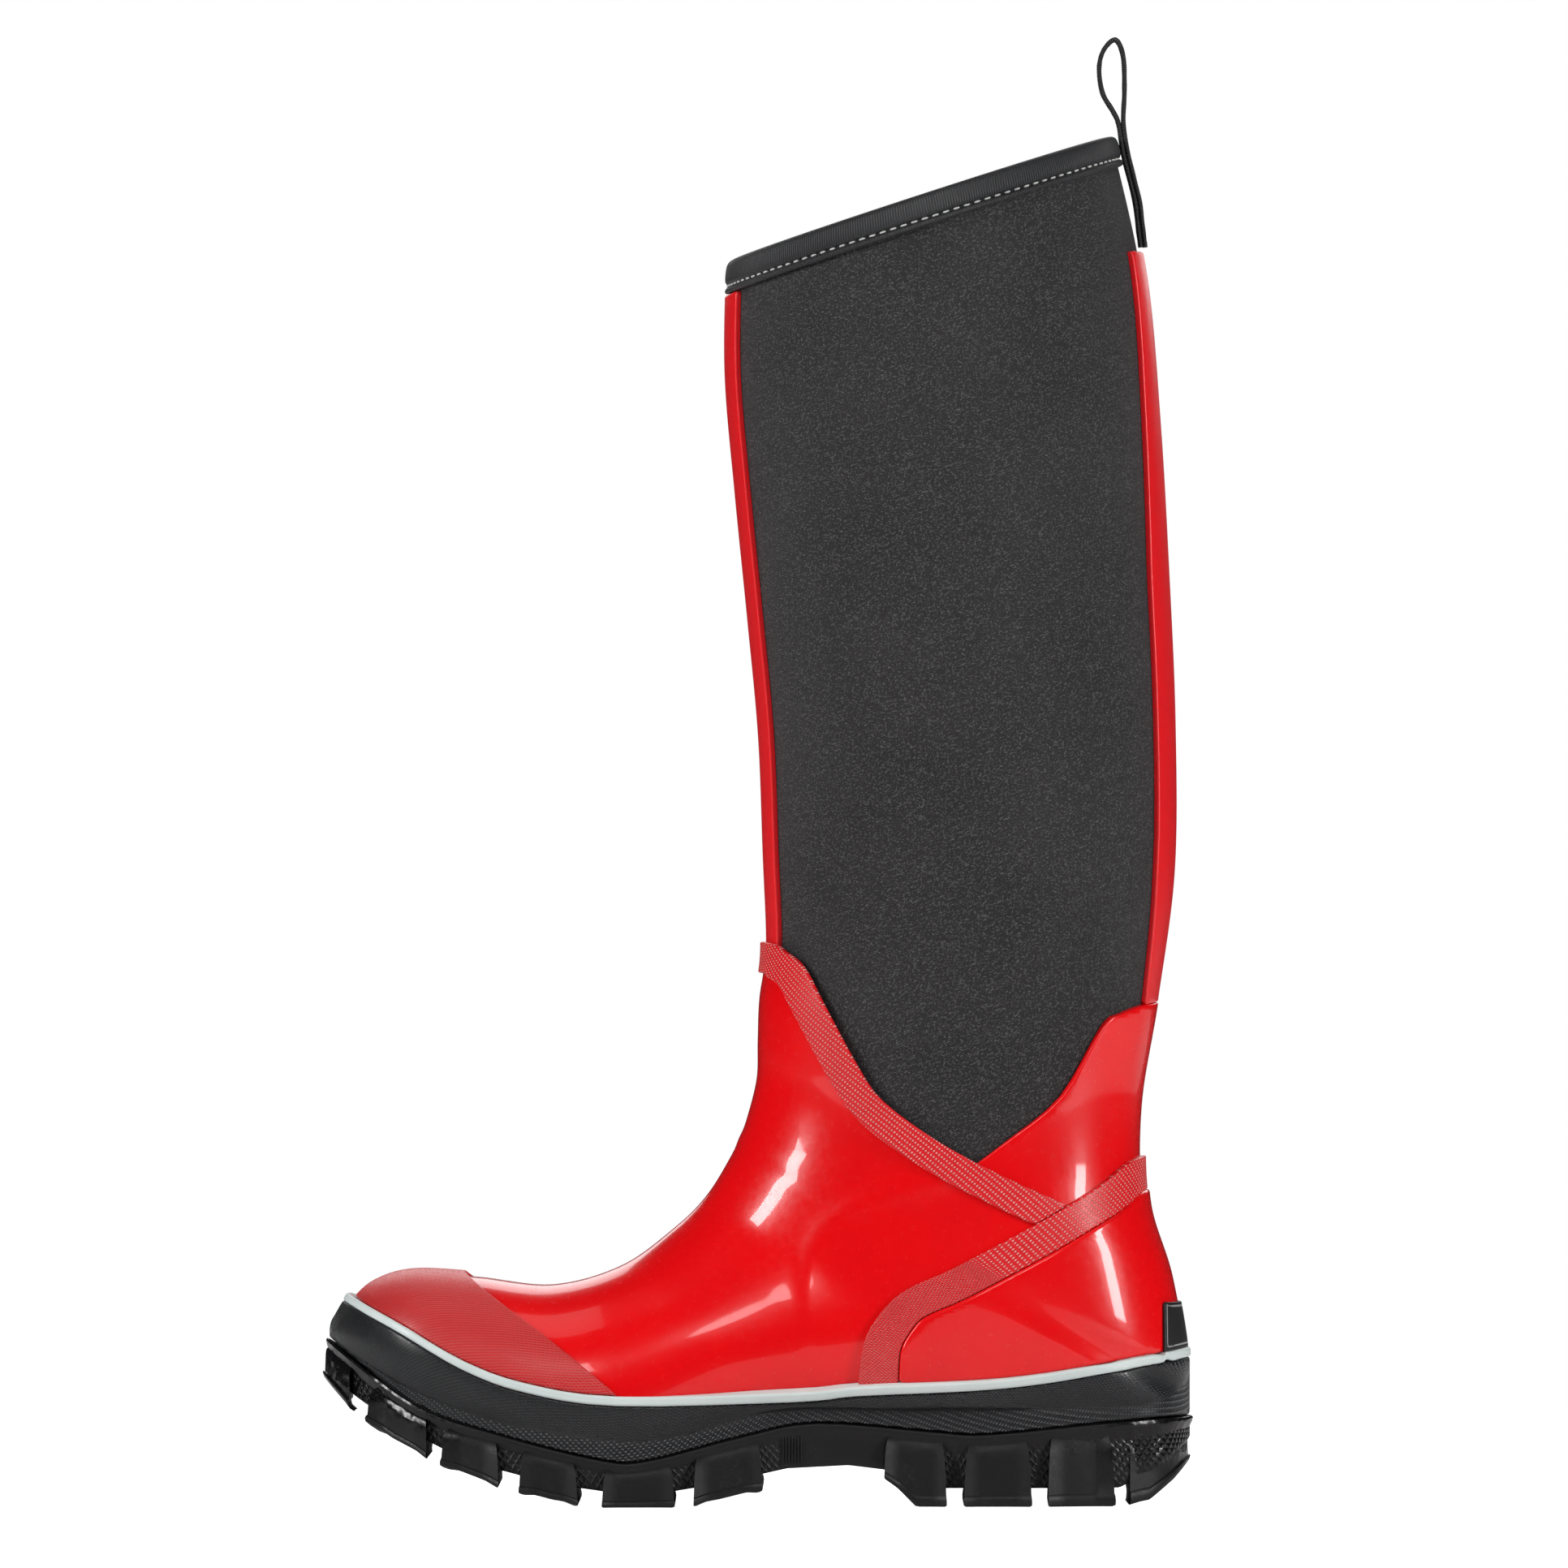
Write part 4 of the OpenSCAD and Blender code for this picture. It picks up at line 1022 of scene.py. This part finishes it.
def build_pull_loop():
    """Ribbed webbing folded double: both ends run down the back, and the bight stands over the edge."""
    hinge = [j for j in frame["joints"] if j["name"] == "pull_loop_swing"][0]["pos_m"]
    fold = np.array([hinge[0], hinge[2]]) / MM
    leg = WEBBING_WALL / 2 + 0.08
    bight = [[-leg, 1.9], [-2.6, 6], [-6, 12], [-7.1, 20], [-5.6, 26], [-1.8, 29.3], [leg - 0.1, 24],
             [leg + 0.35, 13], [leg, 1.9]]
    heights = [409.5, 416, 424, 432, 440]
    lift = [0.35, 0.6, 1.0, 1.0, 1.0]
    inner = [back_points([z], (TAIL_IN + 0.35) * k + WEBBING_WALL / 2)[0] for z, k in zip(heights, lift)]
    outer = [back_points([z], (TAIL_IN + 0.4) * k + WEBBING_WALL * 1.5)[0] for z, k in zip(heights, lift)]
    path = inner + [list(fold + p) for p in bight] + outer[::-1]
    centre = curve(path, 7)
    n = len(centre)
    ends = np.clip(np.arange(n)[:, None] + [-1, 1], 0, n - 1)
    t = unit(centre[ends[:, 1]] - centre[ends[:, 0]])
    normal = np.stack([-t[:, 1], t[:, 0]], 1)
    run = arc_lengths(centre)
    half, thick = WEBBING_WIDTH / 2, WEBBING_WALL / 2
    across = np.linspace(-half + 0.9, half - 0.9, 25)
    face = np.column_stack([across, 1.0 + 0.04 * np.cos(across * math.tau / 1.6)])
    ring = np.concatenate([[[-half, -0.4], [-half, 0.4], [-half + 0.35, 0.85]], face,
                           [[half - 0.35, 0.85], [half, 0.4], [half, -0.4], [half - 0.35, -0.85]],
                           face[::-1] * [1, -1], [[-half + 0.35, -0.85]]])
    sections, pattern = [], []
    for k in range(n):
        rib = 1 + 0.05 * math.sin(run[k] * math.tau / 1.3)
        off = ring[:, 1] * thick * rib
        p = centre[k] + off[:, None] * normal[k]
        sections.append(np.stack([p[:, 0], ring[:, 0], p[:, 1]], 1))
        pattern.append(np.stack([np.full(len(ring), run[k]), ring[:, 0], 0 * off], 1))
    points, faces = sweep(sections)
    piece = add_piece("pull_loop_webbing", points, faces, None, "webbing",
                      ribbed_tape("webbing", 0.75, (0.013, 0.013, 0.015), 0.18),
                      "pull_loop_tail", "pull_loop", pattern=np.concatenate(pattern))
    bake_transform(piece)


# ---------------------------------------------------------------- sole

GROUND = np.array([[-150, 56], [-141, 41], [-132, 31.5], [-118, 22], [-102, 14], [-85, 7.6], [-66, 2.6],
                   [-48, 0], [-38, 0], [-28, 0], [-12, 2.6], [4, 6.5], [28, 11.0]])
HEEL_GROUND = np.array([[36, 13], [42.5, 9.5], [52, 0], [117, 0], [128, 2], [136, 8.5], [143, 16],
                        [150, 26.0]])
LUG_HEIGHT = 5.0
GROOVES = np.concatenate([raised(GROUND[GROUND[:, 0] < 0], LUG_HEIGHT),
                          [[10, 12.5], [30, 13.5], [42, 12], [55, 6], [118, 6], [132, 13], [150, 29]]])
LUGS = [[-146, -132.5], [-124.5, -106.5], [-101, -84], [-75.5, -58], [-49, -27.5], [-20, 1]]
HEEL_LUGS = [[42.5, 61], [69, 88], [95.5, 115.5], [121.5, 146]]
LUG_REACH = 2.6
SOLE_STEP = 1.5
# A bar from its foot to its top: share of its height, distance from its reach, and share of its flare
LUG_PROFILE = [(0.0, -2.4, 0.0), (0.0, -0.9, 0.6), (0.02, -0.1, 1.0), (0.08, 0.25, 1.0),
               (0.14, 0.05, 0.95), (0.17, -0.5, 0.9), (0.4, -0.6, 0.8), (0.66, -0.7, 0.6),
               (0.8, -0.9, 0.4), (0.9, -1.5, 0.1), (0.97, -2.4, 0.0)]
LUG_TOP_DROP = 2.2
FIN_WIDTH = 1.9
FIN_REACH = 1.7
FIN_SPREAD = 1.6
FIN_DROP = 0.9
END_FIN = 0.4
HOLLOW = 0.5
TOE_END, HEEL_END = -140, 140


def height_at(line, x):
    return np.interp(x, line[:, 0], line[:, 1])


def sole_loop(samples=30):
    """The sole's outline in plan from the toe down the outer side and round the heel, with the way out
    and how far along it each point lies."""
    r = smooth(RIBS, np.linspace(TIP, FIRST_FOOT_RIB, (TIP - FIRST_FOOT_RIB) * samples + 1))
    outer = np.stack([r[:, 0], r[:, 6] - np.maximum(r[:, 5], 0)], 1)
    inner = np.stack([r[:, 0], r[:, 6] + np.maximum(r[:, 5], 0)], 1)
    loop = np.concatenate([outer, inner[::-1][1:-1]])
    run = arc_lengths(np.concatenate([loop, loop[:1]]))
    places = np.arange(0, run[-1], SOLE_STEP)
    loop = np.stack([np.interp(places, run[:-1], loop[:, a], period=run[-1]) for a in (0, 1)], 1)
    for _ in range(4):
        loop = (np.roll(loop, 1, 0) + 2 * loop + np.roll(loop, -1, 0)) / 4
    t = unit(np.roll(loop, -1, 0) - np.roll(loop, 1, 0))
    return loop, np.stack([t[:, 1], -t[:, 0]], 1), places


def sole_wall():
    """The block over the lugs: its top lip, the recessed wall and the floor between the lugs."""
    loop, out, places = sole_loop()
    levels = [(1.0, -0.4, FOXING_OUT - 3.0), (1.0, -0.4, FOXING_OUT + 0.3), (1.0, -0.75, FOXING_OUT + 0.95),
              (1.0, -1.6, FOXING_OUT + 1.25), (1.0, -3.0, FOXING_OUT + 0.9), (1.0, -4.4, FOXING_OUT + 0.25)]
    levels += [(k, 0.0, FOXING_OUT + 0.2) for k in (0.6, 0.4, 0.2, 0.08)]
    levels += [(0.0, 0.0, FOXING_OUT - 0.4), (0.0, 0.0, FOXING_OUT - 2.5)]
    rows, pattern = [], []
    for share, lift, offset in levels:
        p = loop + out * offset
        high, low = height_at(FOXING_LOW, p[:, 0]), height_at(GROOVES, p[:, 0])
        z = low + (high - low) * share + lift * np.clip((high - low) / 9, 0.35, 1)
        rows.append(np.column_stack([p, z]))
        hatch = np.full(len(p), 1.0 if share < 1 else 0.0)
        hatch *= 1 - (np.abs(p[:, 0] - 25) < 17)
        pattern.append(np.column_stack([places, z, hatch]))
    m = len(loop)
    points = np.concatenate(rows)
    faces = []
    for j in range(len(rows) - 1):
        for i in range(m):
            h = (i + 1) % m
            faces.append([j * m + i, j * m + h, (j + 1) * m + h, (j + 1) * m + i])
    half = m // 2
    for row, turn in ((0, 1), (len(rows) - 1, -1)):
        for i in range(half - 1):
            a, b, c, d = (row * m + v % m for v in (i, i + 1, m - i - 1, m - i))
            quad = [a, d, c, b] if turn > 0 else [a, b, c, d]
            faces.append(list(dict.fromkeys(quad)))
    return points, faces, np.concatenate(pattern)


def lug_arcs(loop, within, at_toe, at_heel):
    """The points of the sole's loop that a bar runs along: one arc round an end, or its two sides."""
    if at_heel:
        return [within]
    if at_toe:
        half = len(loop) // 2
        return [(np.sort((within + half) % len(loop)) - half) % len(loop)]
    outer = within[loop[within, 1] < 3]
    return [outer, np.setdiff1d(within, outer)]


def lug(x0, x1, ground, heel):
    """One bar of the tread, with finned corners, a flared foot and a top that slopes into the wall.
    The first and the last wrap round the toe and the heel."""
    loop, out, _ = sole_loop()
    reach = FOXING_OUT + LUG_REACH
    edge = (loop + out * reach)[:, 0]
    within = np.flatnonzero((edge >= x0) & (edge <= x1))
    at_toe, at_heel = x0 < TOE_END, x1 > HEEL_END
    arcs = lug_arcs(loop, within, at_toe, at_heel)
    ids = np.concatenate(arcs)
    ends = [np.minimum(np.arange(len(a)), np.arange(len(a))[::-1]) * SOLE_STEP for a in arcs]
    fin = np.exp(-(np.concatenate(ends) / FIN_WIDTH) ** 2) * (END_FIN if at_toe or at_heel else 1)
    middle = x0 - 40 if at_toe else x1 + 40 if at_heel else (x0 + x1) / 2
    outward = np.sign(loop[ids, 0] - middle) * fin
    cut = (LUG_REACH - 0.6) * np.clip((loop[ids, 0] - 95) / 35, 0, 1) if heel else 0
    sections = []
    for share, d, flare in LUG_PROFILE:
        p = loop[ids] + out[ids] * (reach + d - cut + FIN_REACH * fin * flare
                                    - HOLLOW * (1 - fin))[:, None]
        p = p + np.column_stack([outward * flare * FIN_SPREAD, 0 * outward])
        low = np.maximum(height_at(ground, p[:, 0]) - FIN_DROP * fin, 0)
        high = height_at(FOXING_LOW, p[:, 0]) - LUG_TOP_DROP
        sections.append(np.column_stack([p, low + (high - low) * share]))
    points, faces = sweep(sections, caps=False)
    m = len(ids)
    top = [(len(sections) - 1) * m + i for i in range(m)]
    return points, faces + [list(range(m))[::-1], top]


def arch_ribs():
    """A small patch of upright ribs beside the last tread bar, on both sides of the arch."""
    loop, out, _ = sole_loop()
    parts, foot = [], FOXING_OUT - 0.3
    for side in (-1, 1):
        for x in np.arange(8.0, 14.5, 1.0):
            near = [k for k in range(len(loop)) if side * loop[k, 1] > 0]
            k = min(near, key=lambda k: abs(loop[k, 0] - x))
            n, base = out[k], loop[k] + [x - loop[k, 0], 0]
            along = np.array([-n[1], n[0]])
            sections = []
            for z in (14.0, 14.6, 22.4, 23.0):
                w = 0.22 if z in (14.0, 23.0) else 0.34
                high = FOXING_OUT + (0.5 if z in (14.0, 23.0) else 0.85)
                corners = [base + along * w * a + n * h
                           for a, h in ((-1, foot), (-0.7, high), (0.7, high), (1, foot))]
                sections.append(np.column_stack([np.array(corners), np.full(4, z)]))
            parts.append(sweep(sections))
    return join(parts)


def build_outsole():
    """The moulded sole: its wall, the bars of the tread and the ribs beside the arch."""
    wall, faces, pattern = sole_wall()
    bars = [lug(a, b, GROUND, False) for a, b in LUGS]
    bars += [lug(a, b, HEEL_GROUND, True) for a, b in HEEL_LUGS]
    points, all_faces = join([(wall, faces)] + bars + [arch_ribs()])
    flat = np.zeros((len(points), 3))
    flat[:len(pattern)] = pattern
    add_piece("outsole", points, all_faces, "boot", "sole_rubber", sole_rubber("sole_rubber"), "outsole",
              pattern=flat, sharp=35)


# ---------------------------------------------------------------- footbed

def footbed_layer(name, low, high, node_slot, material, node, rounding):
    """A foot-shaped slab on the lining, cupped a little towards its edge."""
    r = smooth(RIBS, np.linspace(11.35, 20.6, 90))
    r = r[(r[:, 0] < 121) & (r[:, 0] > -111.5)]
    x, middle, half = r[:, 0], r[:, 6], r[:, 5] - 6.6
    order = np.argsort(x)
    x, middle, half = x[order], middle[order], half[order]
    ends = np.minimum((x - x[0]) / 16, (x[-1] - x) / 16)
    half = half * np.sqrt(np.clip(1 - (1 - np.clip(ends, 0, 1)) ** 2, 0.0004, 1))
    sole = smooth(RIBS, np.linspace(TIP, FIRST_FOOT_RIB, 120))
    floor = np.interp(x, sole[:, 0], sole[:, 1])
    across = np.linspace(-1, 1, 25)
    top, bottom = [], []
    for k in range(len(x)):
        y = middle[k] + half[k] * across
        cup = 0.9 * np.abs(across) ** 3
        edge = rounding * (np.abs(across) > 0.99)
        top.append(np.column_stack([np.full(25, x[k]), y, floor[k] + high + cup - edge]))
        bottom.append(np.column_stack([np.full(25, x[k]), y, floor[k] + low + cup * 0.4]))
    sections = [np.concatenate([t, b[::-1]]) for t, b in zip(top, bottom)]
    points, faces = sweep(sections)
    pattern = np.column_stack([points[:, 0], points[:, 1], 0 * points[:, 2]])
    return add_piece(name, points, [f[::-1] for f in faces], "footbed", node_slot, material, node,
                     pattern=pattern)


def build_footbed():
    low = -LINING_IN * 1.25 + GAP
    foam = footbed_layer("footbed_foam", low, low + 4.4, "footbed_foam",
                         plain_inner("footbed_foam", (0.09, 0.09, 0.10), (0.13, 0.13, 0.14), (0.8, 0.95)),
                         "footbed_foam", 0.6)
    footbed_layer("footbed_cover", low + 4.45, low + 5.2, "footbed_fabric",
                  jersey("footbed_fabric", (0.045, 0.046, 0.05)), "footbed_cover", 0.3)


def finish_hidden_nodes():
    """The sealed inner pieces keep their CAD shapes and get their own finishes."""
    finishes = {
        "midsole": plain_inner("midsole_rubber", (0.04, 0.04, 0.042), (0.06, 0.06, 0.062), (0.7, 0.9)),
        "shank": plain_inner("shank_steel", (0.5, 0.51, 0.53), (0.6, 0.61, 0.63), (0.28, 0.42), 1.0),
        "insole_board": plain_inner("board", (0.30, 0.19, 0.10), (0.40, 0.27, 0.16), (0.75, 0.9)),
        "toe_puff": plain_inner("toe_stiffener", (0.24, 0.20, 0.15), (0.32, 0.28, 0.21), (0.75, 0.9)),
        "heel_stiffener": plain_inner("heel_stiffener", (0.22, 0.19, 0.14), (0.30, 0.26, 0.20),
                                      (0.75, 0.9)),
    }
    for node, material in finishes.items():
        piece = frame["nodes"][node]
        piece.data.materials.clear()
        piece.data.materials.append(material)


add_studio()
build_bootie()
build_upper()
build_foxing()
build_strips()
build_binding()
build_stitches()
build_pull_loop()
build_outsole()
build_footbed()
finish_hidden_nodes()
